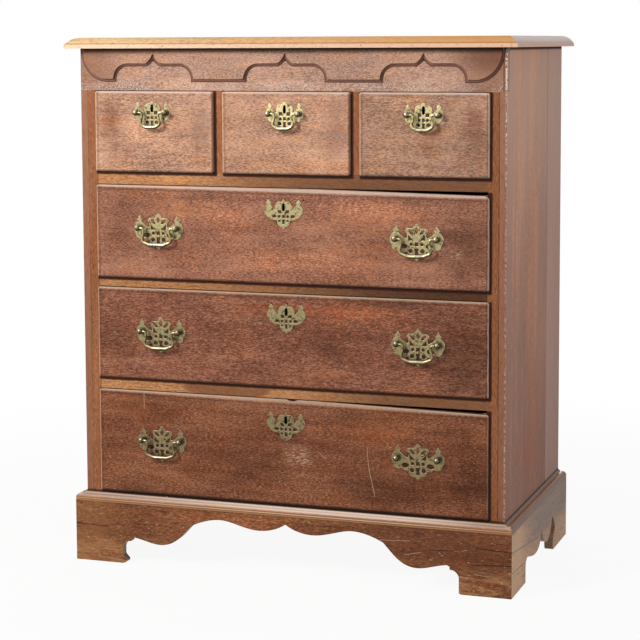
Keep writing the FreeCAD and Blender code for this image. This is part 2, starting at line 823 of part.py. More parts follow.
def make_front(drawer):
    """A lipped front, rounded round its face, rebated for its opening and let in for the lock."""
    start, moves = front_outline(drawer)
    front = slab(start, moves, lip_y, inside_front_y)
    edges = [edge for edge in front.Edges
             if max(abs(vertex.Point.y - lip_y) for vertex in edge.Vertexes) < TINY]
    front = front.makeFillet(lip_round, edges)
    far = inside_front_y + 1
    x0, x1 = drawer["x0"] + front_fit_gap, drawer["x1"] - front_fit_gap
    z0 = drawer["z0"] + drawer_running_gap
    cuts = [
        box(x0 - 20, x0, front_y, far, z0 - 20, drawer["top"] + 1),
        box(x1, x1 + 20, front_y, far, z0 - 20, drawer["top"] + 1),
        box(x0 - 20, x1 + 20, front_y, far, z0 - 20, z0),
        keyhole(*drawer["key"], lip_y - 1, far),
        drawer_bottom(drawer),
    ]
    cuts += list(drawer_side_boards(drawer))
    lock_x0, lock_x1, lock_y0, _, lock_z0, _ = lock_limits(drawer)
    cuts.append(box(lock_x0, lock_x1, lock_y0, far, lock_z0, drawer["top"] + 1))
    if drawer["bite"]:
        cuts.append(bolt_bite(drawer))
    for x, z in post_places(drawer):
        cuts.append(cylinder_y(x, z, shank_radius + shank_clearance, lip_y - 1, far))
    for x, z in escutcheon_pins(drawer):
        cuts.append(cylinder_y(x, z, pin_shank_radius, lip_y - 1, lip_y + pin_length))
    return front.cut(Part.makeCompound(cuts)).Solids[0]


def make_box(drawer):
    """Sides, back and bottom of a drawer."""
    bottom = drawer_bottom(drawer)
    left, right = (board.cut(bottom) for board in drawer_side_boards(drawer))
    x0, x1, _, z1 = side_limits(drawer)
    inner0, inner1 = x0 + drawer_side_thickness, x1 - drawer_side_thickness
    back = box(inner0, inner1, drawer_back_y - drawer_back_thickness, drawer_back_y,
               bottom.BoundBox.ZMax, z1 - drawer_back_drop)
    return Part.makeCompound([left, right, back, bottom])


def make_lock(drawer):
    """A lock case with a slot for its bolt, a keyhole and a pin for the key."""
    x0, x1, y0, y1, z0, z1 = lock_limits(drawer)
    wall = lock_wall
    case = box(x0, x1, y0, y1, z0, z1)
    case = case.cut(box(x0 + wall, x1 - wall, y0 + wall, y1 - wall, z0 + wall, z1 - wall))
    bolt_y0, bolt_y1 = bolt_limits_y()
    key_x, key_z = drawer["key"]
    x = key_x + bolt_middle
    slot = box(x - bolt_width / 2 - bolt_play, x + bolt_width / 2 + bolt_play,
               bolt_y0 - bolt_play, bolt_y1 + bolt_play, z1 - 2 * wall, z1 + 1)
    hole = keyhole(key_x, key_z, y0 - 1, y0 + 2 * wall)
    pin = cylinder_y(key_x, key_z + keyhole_half_height, key_pin_radius, y0, y1 - wall / 2)
    return case.cut(slot).cut(hole).fuse(pin).removeSplitter()


def make_bolt(drawer):
    """The bolt, drawn down into its lock."""
    y0, y1 = bolt_limits_y()
    x = drawer["key"][0] + bolt_middle
    top = drawer["top"] - bolt_top_gap
    if drawer["bite"]:
        top -= bolt_bite_depth
    return box(x - bolt_width / 2, x + bolt_width / 2, y0, y1, top - bolt_length, top)


# ================================================================ the brasses
class PlatePattern:
    """A pierced plate drawn on a grid of a half width and a height, and stretched to its size."""

    def __init__(self, grid, half_width, height):
        self.across = half_width / grid[0]
        self.up = height / grid[1]

    def place(self, point):
        """A drawn point at its real place."""
        return V(point[0] * self.across, 0.0, point[1] * self.up)

    def oval(self, x, z, across, up, turn=0.0):
        """A pierced oval."""
        across, up = across * self.across, up * self.up
        major, minor = max(across, up), min(across, up)
        lie = turn if across >= up else turn + 90.0
        face = Part.Face(Part.Wire(Part.Ellipse(V(0, 0, 0), major, minor).toShape()))
        face.rotate(V(0, 0, 0), V(1, 0, 0), 90)
        face.rotate(V(0, 0, 0), V(0, 1, 0), -lie)
        hole = face.extrude(V(0, 4 * plate_thickness, 0))
        centre = self.place((x, z))
        return moved(hole, centre.x, -2 * plate_thickness, centre.z)

    def hole(self, points):
        """A pierced straight-sided hole."""
        start, moves = ring_of(points)
        return slab(start, moves, -2 * plate_thickness, 2 * plate_thickness, self.place)

    def plate(self, start, moves, half_holes, middle_holes):
        """The plate from its right half, lying on the origin plane."""
        plate = both_halves(slab(start, moves, -plate_thickness, 0.0, self.place))
        holes = list(middle_holes)
        for hole in half_holes:
            holes += [hole, mirrored(hole)]
        return plate.cut(Part.makeCompound(holes))


def plate_bore(x, z, radius):
    """A round hole through a plate."""
    return cylinder_y(x, z, radius, -2 * plate_thickness, 2 * plate_thickness)


def wing_moves(reach, notch):
    """A plate's wing: up from the notch to its leaf finial, round the post and back below."""
    return [
        ("curve", (reach - 14.0, 4.2), (reach - 8.5, 9.0), (reach - 4.0, 13.2)),
        ("line", (reach - 6.8, 16.0)),
        ("curve", (reach - 3.6, 20.2), (reach - 1.0, 25.4)),
        ("curve", (reach + 2.6, 19.6), (reach + 6.2, 16.0)),
        ("line", (reach + 2.6, 13.2)),
        ("curve", (reach + 8.6, 9.0), (reach + 12.3, 1.0), (reach + 11.2, -7.5),
         (reach + 8.0, -12.5)),
        ("line", (reach + 6.8, -18.5)),
        ("curve", (reach + 2.0, -21.0), (reach - 5.0, -22.4)),
        ("line", (reach - 9.0, -20.0)),
    ]


def make_long_plate():
    """The large pierced handle plate, centred on its two posts."""
    grid = reach, _ = (42.0, 74.0)
    drawn = PlatePattern(grid, long_post_half, long_plate_height)
    notch = (20.5, 1.6)
    moves = [
        ("curve", (3.4, 26.6), (6.6, 23.2)),
        ("line", (7.6, 20.8)),
        ("curve", (13.0, 20.6), (19.2, 20.2)),
        ("line", (24.2, 15.6)),
        ("curve", (20.8, 12.0), (19.6, 7.0), notch),
    ]
    moves += wing_moves(reach, notch)
    moves += [
        ("curve", (28.0, -24.4), (23.0, -25.6), (18.4, -24.2)),
        ("line", (19.4, -28.4)),
        ("curve", (14.6, -34.2), (7.6, -37.2)),
        ("line", (4.2, -38.6)),
        ("line", (0.0, -44.0)),
    ]
    half_holes = [
        drawn.oval(11.6, 12.8, 6.6, 3.0, 42.0),
        drawn.hole([(17.4, 7.6), (17.0, -3.2), (5.4, -3.4)]),
        drawn.oval(10.8, -10.6, 3.5, 3.3),
        drawn.oval(12.0, -23.6, 4.5, 4.4),
        drawn.oval(26.0, -14.4, 7.8, 4.9, -6.0),
        plate_bore(long_post_half, 0.0, shank_radius + shank_clearance),
    ]
    middle_holes = [
        drawn.hole([(0.0, 23.4), (4.2, 16.4), (0.0, 9.4), (-4.2, 16.4)]),
        drawn.hole([(-3.2, -6.6), (3.2, -6.6), (4.2, -14.2), (-4.2, -14.2)]),
        drawn.hole([(-4.8, -18.6), (4.8, -18.6), (3.0, -25.0), (4.4, -32.4),
                    (-4.4, -32.4), (-3.0, -25.0)]),
    ]
    return drawn.plate((0.0, 30.0), moves, half_holes, middle_holes)


def make_short_plate():
    """The smaller plate with its own keyhole, centred on its two posts."""
    grid = reach, _ = (31.5, 58.5)
    drawn = PlatePattern(grid, short_post_half, short_plate_height)
    notch = (17.0, 2.6)
    moves = [
        ("curve", (2.2, 22.8), (4.4, 20.0)),
        ("line", (12.6, 18.0)),
        ("line", (15.8, 15.8)),
        ("curve", (17.4, 10.0), notch),
        ("curve", (reach - 10.5, 4.4), (reach - 6.4, 8.6), (reach - 3.4, 12.2)),
        ("line", (reach - 4.9, 15.0)),
        ("line", (reach - 0.6, 22.4)),
        ("line", (reach + 3.9, 15.2)),
        ("line", (reach + 2.2, 12.2)),
        ("curve", (reach + 6.4, 8.2), (reach + 8.3, 1.0), (reach + 7.0, -6.0),
         (reach + 4.2, -11.0)),
        ("line", (reach - 0.5, -16.4)),
        ("line", (reach - 5.2, -15.4)),
        ("line", (reach - 7.4, -13.2)),
        ("curve", (20.6, -18.6), (15.0, -25.8), (6.4, -29.4)),
        ("line", (3.4, -30.6)),
        ("line", (0.0, -34.5)),
    ]
    half_holes = [
        drawn.hole([(4.6, 3.2), (12.2, 4.0), (11.6, -4.4), (4.0, -3.6)]),
        drawn.oval(8.6, -10.2, 3.0, 3.1),
        drawn.oval(10.6, -19.4, 4.5, 3.3, 12.0),
        plate_bore(short_post_half, 0.0, shank_radius + shank_clearance),
    ]
    middle_holes = [
        keyhole(0.0, short_key_rise, -2 * plate_thickness, 2 * plate_thickness),
        drawn.hole([(-2.6, -6.6), (2.6, -6.6), (3.0, -13.4), (-3.0, -13.4)]),
        drawn.hole([(-3.4, -16.0), (3.4, -16.0), (2.4, -20.6), (3.4, -27.0),
                    (-3.4, -27.0), (-2.4, -20.6)]),
    ]
    return drawn.plate((0.0, 24.0), moves, half_holes, middle_holes)


def make_escutcheon():
    """The keyhole plate of a long drawer, centred on its keyhole."""
    grid = (41.0, 61.4)
    drawn = PlatePattern(grid, key_plate_half_width, key_plate_height)
    moves = [
        ("curve", (1.6, 13.6), (4.2, 10.4)),
        ("curve", (11.0, 11.2), (15.8, 6.6), (16.6, -6.4)),
        ("line", (28.2, 5.6)),
        ("line", (26.4, 9.4)),
        ("line", (32.2, 16.0)),
        ("line", (37.2, 9.4)),
        ("line", (34.4, 5.8)),
        ("curve", (39.4, 0.2), (41.0, -8.0), (37.4, -14.4)),
        ("curve", (32.6, -20.4), (26.0, -24.0), (14.0, -26.0)),
        ("line", (13.2, -31.0)),
        ("curve", (9.4, -37.4), (3.6, -39.6)),
        ("line", (0.0, -43.8)),
    ]
    half_holes = [
        drawn.hole([(5.2, -5.8), (12.8, -5.4), (10.6, -12.2), (2.6, -12.4)]),
        drawn.oval(9.2, -18.4, 3.0, 3.0),
        drawn.oval(19.8, -18.0, 5.0, 3.4),
        drawn.oval(8.8, -27.4, 2.9, 2.0),
        plate_bore(escutcheon_pin_reach, -escutcheon_pin_drop, pin_shank_radius),
    ]
    middle_holes = [
        keyhole(0.0, 0.0, -2 * plate_thickness, 2 * plate_thickness),
        drawn.hole([(-2.6, -15.2), (2.6, -15.2), (2.6, -21.6), (-2.6, -21.6)]),
        drawn.hole([(-2.6, -24.4), (2.6, -24.4), (2.6, -33.6), (-2.6, -33.6)]),
    ]
    return drawn.plate((0.0, 17.6), moves, half_holes, middle_holes)


def make_plates(drawer, patterns):
    """All the pierced plates on one drawer's face."""
    plates = []
    pattern = patterns["long"] if drawer["long"] else patterns["short"]
    for x, z in drawer["handles"].values():
        plates.append(moved(pattern, x, lip_y, z))
    if drawer["long"]:
        x, z = drawer["key"]
        plates.append(moved(patterns["key"], x, lip_y, z))
    return Part.makeCompound(plates)


def make_post(x, z, inward):
    """A turned post with a round head, bored from its inner side for the bail, and its nut."""
    head = post_head_radius
    waist_y = plate_y - post_collar_thickness
    ball = Part.makeSphere(head, V(x, bail_y, z))
    collar = cylinder_y(x, z, post_collar_radius, waist_y, plate_y)
    neck = cylinder_y(x, z, post_neck_radius, bail_y, waist_y)
    shank = cylinder_y(x, z, shank_radius, plate_y, inside_front_y + nut_thickness + shank_past_nut)
    bore_floor = head - bail_pintle_length - bail_running_clearance
    bore = Part.makeCylinder(bail_wire_radius + bail_running_clearance, head,
                             V(x + inward * bore_floor, bail_y, z), V(inward, 0, 0))
    post = ball.fuse(collar).fuse(neck).fuse(shank).cut(bore)
    corners = [(x + nut_radius * math.cos(math.radians(60 * k + 30)),
                z + nut_radius * math.sin(math.radians(60 * k + 30))) for k in range(6)]
    nut = slab(*ring_of(corners), inside_front_y, inside_front_y + nut_thickness)
    return post, nut.cut(cylinder_y(x, z, shank_radius, inside_front_y - 1,
                                    inside_front_y + nut_thickness + 1))


def make_pin(x, z):
    """A small brass pin through the keyhole plate."""
    shank = cylinder_y(x, z, pin_shank_radius, plate_y, lip_y + pin_length)
    head = cylinder_y(x, z, pin_head_radius, plate_y - pin_head_height, plate_y)
    return head.fuse(shank).removeSplitter()


def make_posts(drawer):
    """Posts and nuts of a drawer's handles, and the pins of its keyhole plate."""
    pieces = []
    places = post_places(drawer)
    for index, (x, z) in enumerate(places):
        inward = 1 if index % 2 == 0 else -1
        pieces += make_post(x, z, inward)
    pieces += [make_pin(x, z) for x, z in escutcheon_pins(drawer)]
    return Part.makeCompound(pieces)


def bent_wire(start, corners, end):
    """Straight lengths joined by round bends; each corner is (across, up, bend radius)."""
    edges = []
    here = front_point(start)
    stops = [start] + [corner[:2] for corner in corners] + [end]
    for index, (x, z, radius) in enumerate(corners, 1):
        corner = V(x, 0, z)
        before = (front_point(stops[index - 1]) - corner).normalize()
        after = (front_point(stops[index + 1]) - corner).normalize()
        half_angle = before.getAngle(after) / 2
        setback = radius / math.tan(half_angle)
        inward = (before + after).normalize()
        middle = corner + inward * (radius / math.sin(half_angle) - radius)
        bend_start, bend_end = corner + before * setback, corner + after * setback
        edges.append(Part.LineSegment(here, bend_start).toShape())
        edges.append(Part.Arc(bend_start, middle, bend_end).toShape())
        here = bend_end
    edges.append(Part.LineSegment(here, front_point(end)).toShape())
    return Part.Wire(edges)


def make_bail(post, drop):
    """A bail hanging from the origin axis, its ends in the bores of two posts."""
    half = post - bail_inset
    shoulder = half + bail_shoulder
    corners = [
        (half - bail_waist_inset, 0.0, bail_bend),
        (half - bail_waist_inset, -bail_waist * drop, 3 * bail_bend),
        (half + bail_belly_bulge, -bail_belly * drop, 1.5 * bail_bend),
        (half * bail_bar_share, -drop, 3 * bail_bend),
    ]
    line = bent_wire((shoulder, 0.0), corners, (0.0, -drop))
    slim = Part.Circle(V(shoulder, 0, 0), V(-1, 0, 0), bail_wire_radius)
    stout = Part.Circle(V(0, 0, -drop), V(-1, 0, 0), bail_bar_radius)
    rings = [Part.Wire(slim.toShape()), Part.Wire(stout.toShape())]
    arm = line.makePipeShell(rings, True, False)
    end = post - post_head_radius + bail_pintle_length
    pintle = Part.makeCylinder(bail_wire_radius, end - shoulder, V(shoulder, 0, 0), V(1, 0, 0))
    return both_halves(arm.fuse(pintle).removeSplitter())


# ================================================================ everything
def carcase_nodes():
    """Every fixed piece of the case and its base, by name."""
    return {
        "top_board": make_top_board(),
        "side_left": make_side(-1),
        "side_right": make_side(1),
        "stiles": make_stiles(),
        "frieze_rail": make_frieze_rail(),
        "frieze_fret": make_frieze_fret(),
        "drawer_dividers": make_dividers(),
        "drawer_blades": make_drawer_blades(),
        "drawer_runners": make_drawer_runners(),
        "back_boards": make_back_boards(),
        "bottom_board": make_bottom_board(),
        "base_moulding": make_base_moulding(),
        "bracket_front": make_bracket_front(),
        "side_brackets": make_side_brackets(),
        "back_brackets": make_back_brackets(),
        "foot_blocks": make_foot_blocks(),
    }


def drawer_nodes():
    """Every piece of the six drawers, by name."""
    patterns = {"long": make_long_plate(), "short": make_short_plate(), "key": make_escutcheon()}
    bails = {
        True: make_bail(long_post_half, long_bail_drop),
        False: make_bail(short_post_half, short_bail_drop),
    }
    nodes = {}
    for drawer in DRAWERS:
        name = drawer["name"]
        nodes[name + "_front"] = make_front(drawer)
        nodes[name + "_box"] = make_box(drawer)
        nodes[name + "_plates"] = make_plates(drawer, patterns)
        nodes[name + "_posts"] = make_posts(drawer)
        nodes[name + "_lock"] = make_lock(drawer)
        nodes[name + "_bolt"] = make_bolt(drawer)
        for handle, (x, z) in drawer["handles"].items():
            if (name, handle) != LOST_BAIL:
                nodes[name + "_" + handle] = moved(bails[drawer["long"]], x, bail_y, z)
    return nodes


def main():
    """Write one STEP file for each node."""
    os.makedirs("parts", exist_ok=True)
    nodes = carcase_nodes()
    nodes.update(drawer_nodes())
    for name, shape in nodes.items():
        shape.exportStep("parts/" + name + ".step")
    print(len(nodes), "nodes")


main()
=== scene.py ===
import bmesh
import bpy
import math
from bpy.props import FloatProperty, FloatVectorProperty, IntProperty, PointerProperty
from mathutils import Matrix, Vector


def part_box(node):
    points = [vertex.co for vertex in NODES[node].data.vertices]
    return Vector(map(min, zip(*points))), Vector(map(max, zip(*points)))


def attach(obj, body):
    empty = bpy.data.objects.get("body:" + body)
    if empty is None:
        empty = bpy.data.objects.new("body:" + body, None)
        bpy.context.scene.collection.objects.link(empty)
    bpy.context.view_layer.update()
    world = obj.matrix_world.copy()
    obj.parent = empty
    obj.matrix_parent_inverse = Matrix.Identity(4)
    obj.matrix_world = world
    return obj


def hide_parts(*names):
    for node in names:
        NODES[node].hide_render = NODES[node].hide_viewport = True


bl_info = {
    "name": "Oak chest of drawers",
    "version": (1, 0, 0),
    "blender": (4, 5, 0),
    "location": "3D View > Sidebar > Chest",
    "description": "Finishes and brasses for an old oak chest of drawers",
    "category": "Object",
}

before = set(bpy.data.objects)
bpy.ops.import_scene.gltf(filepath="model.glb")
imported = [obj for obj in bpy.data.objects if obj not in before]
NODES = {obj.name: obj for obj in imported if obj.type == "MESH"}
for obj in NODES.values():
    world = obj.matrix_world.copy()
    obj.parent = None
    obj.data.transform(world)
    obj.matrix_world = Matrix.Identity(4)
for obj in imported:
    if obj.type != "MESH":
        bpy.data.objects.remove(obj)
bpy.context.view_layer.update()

SHORT = ("short_left", "short_middle", "short_right")
LONG = ("long_high", "long_middle", "long_low")
DRAWERS = SHORT + LONG
CASE_LOW, CASE_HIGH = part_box("frieze_rail")
FRONT = CASE_LOW.y                      # front plane of the case
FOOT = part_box("base_moulding")[1].z     # height at which the case meets the base
SEAM = FRONT + 0.362                    # joint between the two boards of a side
BACK_BOARDS = 4
LIP_FACE = -5                           # faces in millimetres, as mm() takes them: lips,
BASE_FACE = -18                         # front bracket board
BASE_SIDE = 468                         # and side bracket board
SMALLEST_PLATE = 0.05
BORE = (0.005, 0.005)                   # width and height of the post holes in the plates
KEYHOLE = (0.0058, 0.0162)
HOLE_SLACK = (0.0007, 0.0012)           # how far a hole's size may be off and still count
KEY_DARK = (0.0045, 1.0, 0.0100)        # half sizes of the painted shade behind a keyhole, of the painted shade on its rim and of the patina round a post
KEY_RIM = (0.0042, 1.0, 0.0096)         # of the shade on its rim
POST_RING = (0.0105, 1.0, 0.0095)       # and of the tarnish around a post
FRONT_END = 0.006                       # how near a front's end its corners are
SAME_SPOT = 1e-6
ON_PLANE = 1e-5
X, Y, Z = range(3)
UP, DOWN, FORWARD, BACKWARD, RIGHT = (0, 0, 1), (0, 0, -1), (0, -1, 0), (0, 1, 0), (1, 0, 0)
UPRIGHT = (1, 0, 1)                     # the plane in which marks on a front are drawn
WHITE = (1, 1, 1, 1)
LIP_SHADE = (0.19, 0.065, 0.035)        # painted shadow, with dirt, on the case beside the lips


# ---------------------------------------------------------------- settings a user may change
def colour(name, description, value):
    """A colour property, written as it is seen on a screen."""
    return FloatVectorProperty(name=name, description=description, default=[c / 255 for c in value],
                               subtype="COLOR_GAMMA", size=3, min=0.0, max=1.0)


def tone(name, part, value):
    """The colour property of one part's wood."""
    return colour(name, "Middle tone of the " + part, value)


def length(name, description, value):
    """A length property in metres."""
    return FloatProperty(name=name, description=description, default=value, min=0.0,
                         subtype="DISTANCE", unit="LENGTH")


def power(name, description, value):
    """A lamp's power property in watts."""
    return FloatProperty(name=name, description=description, default=value, min=0.0,
                         subtype="POWER")


class ChestOak(bpy.types.PropertyGroup):
    """Tones of the oak."""

    short_front: tone("Short fronts", "short drawer fronts", (198, 150, 122))
    high_front: tone("High front", "highest long front", (158, 104, 80))
    middle_front: tone("Middle front", "middle long front", (136, 84, 62))
    low_front: tone("Low front", "lowest front", (128, 76, 50))
    rail: tone("Rails", "rails between the drawers", (184, 129, 85))
    stile: tone("Stiles", "upright strips", (148, 92, 58))
    frieze: tone("Frieze", "frieze and its fretted board", (196, 154, 132))
    side: tone("Sides", "case sides", (206, 154, 130))
    top: tone("Top", "top board", (250, 200, 138))
    moulding: tone("Moulding", "base moulding", (178, 126, 94))
    base: tone("Base", "bracket base", (132, 80, 50))
    # bare rubbed wood, and also the colour of painted highlights on the lips, the fretted board's
    # arris and the moulding
    worn_and_highlight: colour("Worn wood", "Bare wood where the finish is rubbed away", (226, 196, 168))
    inner: colour("Inner wood", "Unfinished wood inside", (170, 134, 96))
    # old wax and dirt in cracks and joints, and also the colour of painted shade in corners, under
    # overhangs and along the drawers' lips
    grime_and_shade: colour("Grime", "Old wax and dirt in corners and cracks", (30, 17, 11))
    fret_arris: length("Fret arris", "Rounding of the fretted board's cut edge", 0.0019)
    wax_width: length("Wax line", "Width of the dark wax beside the fretted board", 0.0052)
    # moves the dark line to the left, which widens it beside left-facing edges and narrows it
    # beside right-facing ones
    wax_shift: length("Wax shift", "How far the wax lies to the left, away from dusting", 0.0010)


class ChestBrass(bpy.types.PropertyGroup):
    """Finish of the brasses."""

    face: colour("Face", "Dull face of the plates", (166, 154, 110))
    # also the colour of painted highlights on the posts and bails
    rubbed: colour("Rubbed", "Rubbed edges and the bar of a bail", (238, 227, 200))
    # also the colour of painted shade and painted dark reflections on the posts and bails
    tarnish_and_shade: colour("Tarnish", "Tarnish in the hollows", (66, 50, 38))
    bevel: length("Bevel", "Width of the filed edge of a plate", 0.0006)


class ChestNails(bpy.types.PropertyGroup):
    """Nails of the back boards."""

    across: IntProperty(name="Across", description="Nails in one row across the back", default=8,
                        min=2)
    rows: IntProperty(name="Rows", description="Rows of nails up the back", default=4, min=2)
    head_radius: length("Head radius", "Half the width of a hammered nail head", 0.0036)
    head_height: length("Head height", "How thick a nail head is", 0.0016)
    end_distance: length("End distance", "How far the outer rows are from the boards' ends", 0.008)


class ChestStage(bpy.types.PropertyGroup):
    """The plain studio."""

    floor: colour("Floor", "Pale floor", (246, 245, 243))
    key_power: power("Key lamp", "Power of the main soft lamp", 98.0)
    fill_power: power("Fill lamp", "Power of the soft lamp on the right", 17.0)
    back_power: power("Back lamp", "Power of the soft lamp behind", 48.0)
    sky: FloatProperty(name="Sky", description="Strength of the even white surroundings",
                       default=0.24, min=0.0)


SETTINGS = {"chest_oak": ChestOak, "chest_brass": ChestBrass, "chest_nails": ChestNails,
            "chest_stage": ChestStage}


# ---------------------------------------------------------------- colours
def linear(value):
    """A screen colour as the four linear numbers a shader takes."""
    return [((c + 0.055) / 1.055) ** 2.4 if c > 0.04045 else c / 12.92 for c in value] + [1.0]


def tint(value, factor):
    """The colour made lighter or darker."""
    return [min(c * factor, 1.0) for c in value]


def between(first, second, share):
    """The colour that lies a share of the way from the first to the second."""
    return [a + (b - a) * share for a, b in zip(first, second)]


# ---------------------------------------------------------------- shader building
class Shader:
    """Short calls for placing and joining nodes in one tree."""

    def __init__(self, tree):
        self.tree = tree
        self.nodes = tree.nodes

    def feed(self, socket, value):
        """Give a socket a value, or link it when the value is another socket."""
        if isinstance(value, bpy.types.NodeSocket):
            self.tree.links.new(value, socket)
        else:
            socket.default_value = value

    def add(self, kind, inputs=(), **settings):
        """A new node with its settings, fed in socket order, or by name or number."""
        node = self.nodes.new(kind)
        for name, value in settings.items():
            setattr(node, name, value)
        for key, value in inputs.items() if isinstance(inputs, dict) else enumerate(inputs):
            self.feed(node.inputs[key], value)
        return node

    def math(self, operation, *values, clamp=False):
        return self.add("ShaderNodeMath", values, operation=operation, use_clamp=clamp).outputs[0]

    def vector(self, operation, *values):
        node = self.add("ShaderNodeVectorMath", values, operation=operation)
        return node.outputs["Value" if operation in ("LENGTH", "DOT_PRODUCT") else "Vector"]

    def scaled(self, vector, factor):
        return self.add("ShaderNodeVectorMath", {0: vector, "Scale": factor},
                        operation="SCALE").outputs["Vector"]

    def mix(self, factor, first, second, blend="MIX"):
        return self.add("ShaderNodeMix", {0: factor, 6: first, 7: second}, data_type="RGBA",
                        blend_type=blend).outputs[2]

    def step(self, value, low, high):
        """A smooth step from 0 at low to 1 at high."""
        return self.add("ShaderNodeMapRange", {"Value": value, "From Min": low, "From Max": high},
                        interpolation_type="SMOOTHSTEP").outputs[0]

    def band(self, value, centre, width):
        """A band about one value, 1 at its centre and 0 a width away."""
        return self.step(self.math("ABSOLUTE", self.math("SUBTRACT", value, centre)), width, 0.0)

    def noise(self, where, scale, detail=3.0, roughness=0.55, distortion=0.0):
        return self.add("ShaderNodeTexNoise", {
            "Vector": where, "Scale": scale, "Detail": detail, "Roughness": roughness,
            "Distortion": distortion}).outputs[0]

    def ragged(self, where, *looks):
        """Noise about 0, for breaking up an edge."""
        return self.math("SUBTRACT", self.noise(where, *looks), 0.5)

    def group(self, tree, **values):
        """A node group with its named inputs."""
        node = self.nodes.new("ShaderNodeGroup")
        node.node_tree = tree
        for name, value in values.items():
            self.feed(node.inputs[name], value)
        return node


ORIGIN = (0.0, 0.0, 0.0)
BLACK = [0.0, 0.0, 0.0, 1.0]
SOCKET_KINDS = {float: "Float", tuple: "Vector", list: "Color"}


def new_group(name, outputs=(("Mask", "Float"),), **inputs):
    """A shader group, as (shader, inputs, outputs); each input's default gives its kind."""
    tree = bpy.data.node_groups.new(name, "ShaderNodeTree")
    for socket, default in {"Vector": ORIGIN, **inputs}.items():
        kind = "NodeSocket" + SOCKET_KINDS[type(default)]
        made = tree.interface.new_socket(socket, in_out="INPUT", socket_type=kind)
        made.default_value = default
    for socket, kind in outputs:
        tree.interface.new_socket(socket, in_out="OUTPUT", socket_type="NodeSocket" + kind)
    start = tree.nodes.new("NodeGroupInput")
    end = tree.nodes.new("NodeGroupOutput")
    return Shader(tree), start.outputs, end.inputs


def figure_group():
    """Oak figure along the vector's X: clouds, streaks, ripples, open pores and a drift of hue."""
    s, take, give = new_group(
        "oak_figure", (("Color", "Color"), ("Roughness", "Float"), ("Height", "Float")),
        Seed=0.0, Pale=BLACK, Middle=BLACK, Dark=BLACK, Contrast=1.0, Flecks=0.5)
    where = s.vector("ADD", take["Vector"], s.scaled((0.37, 0.83, 0.59), take["Seed"]))
    cloud, streak, ripple, pore, drift = (
        s.noise(s.vector("MULTIPLY", where, (along, across, across)), *looks)
        for along, across, *looks in (
            (1.0, 1.8, 5.5, 3.0, 0.55, 0.6), (1.0, 9.0, 7.0, 4.0, 0.6, 0.3),
            (1.45, 4.2, 140.0, 2.0, 0.7, 0.4), (1.3, 5.0, 72.0, 2.0, 0.6, 0.2),
            (1.0, 2.6, 13.0, 4.0, 0.7, 0.5)))
    level = s.math("MULTIPLY_ADD", cloud, 0.62, s.math("MULTIPLY", streak, 0.42))
    level = s.math("MULTIPLY_ADD", ripple, 1.65, level)
    level = s.math("MULTIPLY_ADD", s.math("SUBTRACT", level, 1.345), take["Contrast"], 0.5)
    fleck = s.math("MULTIPLY", s.step(pore, 0.57, 0.70), take["Flecks"])
    body = s.mix(s.step(level, 0.24, 0.52), take["Dark"], take["Middle"])
    body = s.mix(s.step(level, 0.48, 0.80), body, take["Pale"])
    body = s.mix(s.math("MULTIPLY", fleck, 0.8), body, take["Dark"])
    body = s.mix(s.step(drift, 0.48, 0.66), body, (1.06, 0.96, 0.84, 1.0), "MULTIPLY")
    body = s.mix(s.step(drift, 0.47, 0.32), body, (0.88, 0.87, 0.92, 1.0), "MULTIPLY")
    s.feed(give["Color"], body)
    s.feed(give["Roughness"], s.math("MULTIPLY_ADD", streak, 0.2, s.math("MULTIPLY", ripple, 0.2)))
    s.feed(give["Height"], s.math("SUBTRACT", ripple, fleck))
    return s.tree


def spot_group():
    """A soft round or oval patch about a centre, its rim broken by noise."""
    s, take, give = new_group("soft_spot", Centre=ORIGIN, Size=ORIGIN, Soft=0.8, Broken=0.3)
    away = s.vector("DIVIDE", s.vector("SUBTRACT", take["Vector"], take["Centre"]), take["Size"])
    ragged = s.math("MULTIPLY_ADD", s.noise(take["Vector"], 38.0, 3.0, 0.6), 2.0, -1.0)
    reach = s.math("MULTIPLY_ADD", ragged, take["Broken"], s.vector("LENGTH", away))
    s.feed(give["Mask"], s.step(reach, 1.0, s.math("SUBTRACT", 1.0, take["Soft"])))
    return s.tree


def stroke_group():
    """A thin mark from one point to another, such as a scratch, a crack or a seam."""
    s, take, give = new_group("thin_stroke", Start=ORIGIN, End=ORIGIN, Width=0.001, Plane=UPRIGHT,
                              Broken=0.3, Sway=0.003)
    wander = s.noise(take["Vector"], 45.0, 3.0, 0.6)
    sway = s.math("MULTIPLY", s.math("SUBTRACT", wander, 0.5), take["Sway"])
    shift = s.add("ShaderNodeCombineXYZ", (sway, sway, sway)).outputs[0]
    moved = s.vector("ADD", take["Vector"], shift)
    here = s.vector("MULTIPLY", s.vector("SUBTRACT", moved, take["Start"]), take["Plane"])
    along = s.vector("MULTIPLY", s.vector("SUBTRACT", take["End"], take["Start"]), take["Plane"])
    part = s.math("DIVIDE", s.vector("DOT_PRODUCT", here, along),
                  s.vector("DOT_PRODUCT", along, along), clamp=True)
    distance = s.vector("LENGTH", s.vector("SUBTRACT", here, s.scaled(along, part)))
    line = s.step(distance, take["Width"], s.math("MULTIPLY", take["Width"], 0.25))
    gaps = s.step(wander, s.math("MULTIPLY", take["Broken"], 0.9),
                  s.math("MULTIPLY", take["Broken"], 0.5))
    s.feed(give["Mask"], s.math("MULTIPLY", line, s.math("SUBTRACT", 1.0, gaps)))
    return s.tree


def turn_group():
    """How far the surface turns away from an axis, broken up by noise: rounded, handled edges."""
    s, take, give = new_group("turned_edge", Normal=ORIGIN, Axis=BACKWARD, From=0.1, To=0.6,
                              Broken=0.5)
    face = s.math("ABSOLUTE", s.vector("DOT_PRODUCT", take["Normal"], take["Axis"]))
    patchy = s.math("MULTIPLY", s.ragged(take["Vector"], 55.0, 4.0, 0.65), take["Broken"])
    turn = s.math("ADD", s.math("SUBTRACT", 1.0, face), patchy)
    s.feed(give["Mask"], s.step(turn, take["From"], take["To"]))
    return s.tree


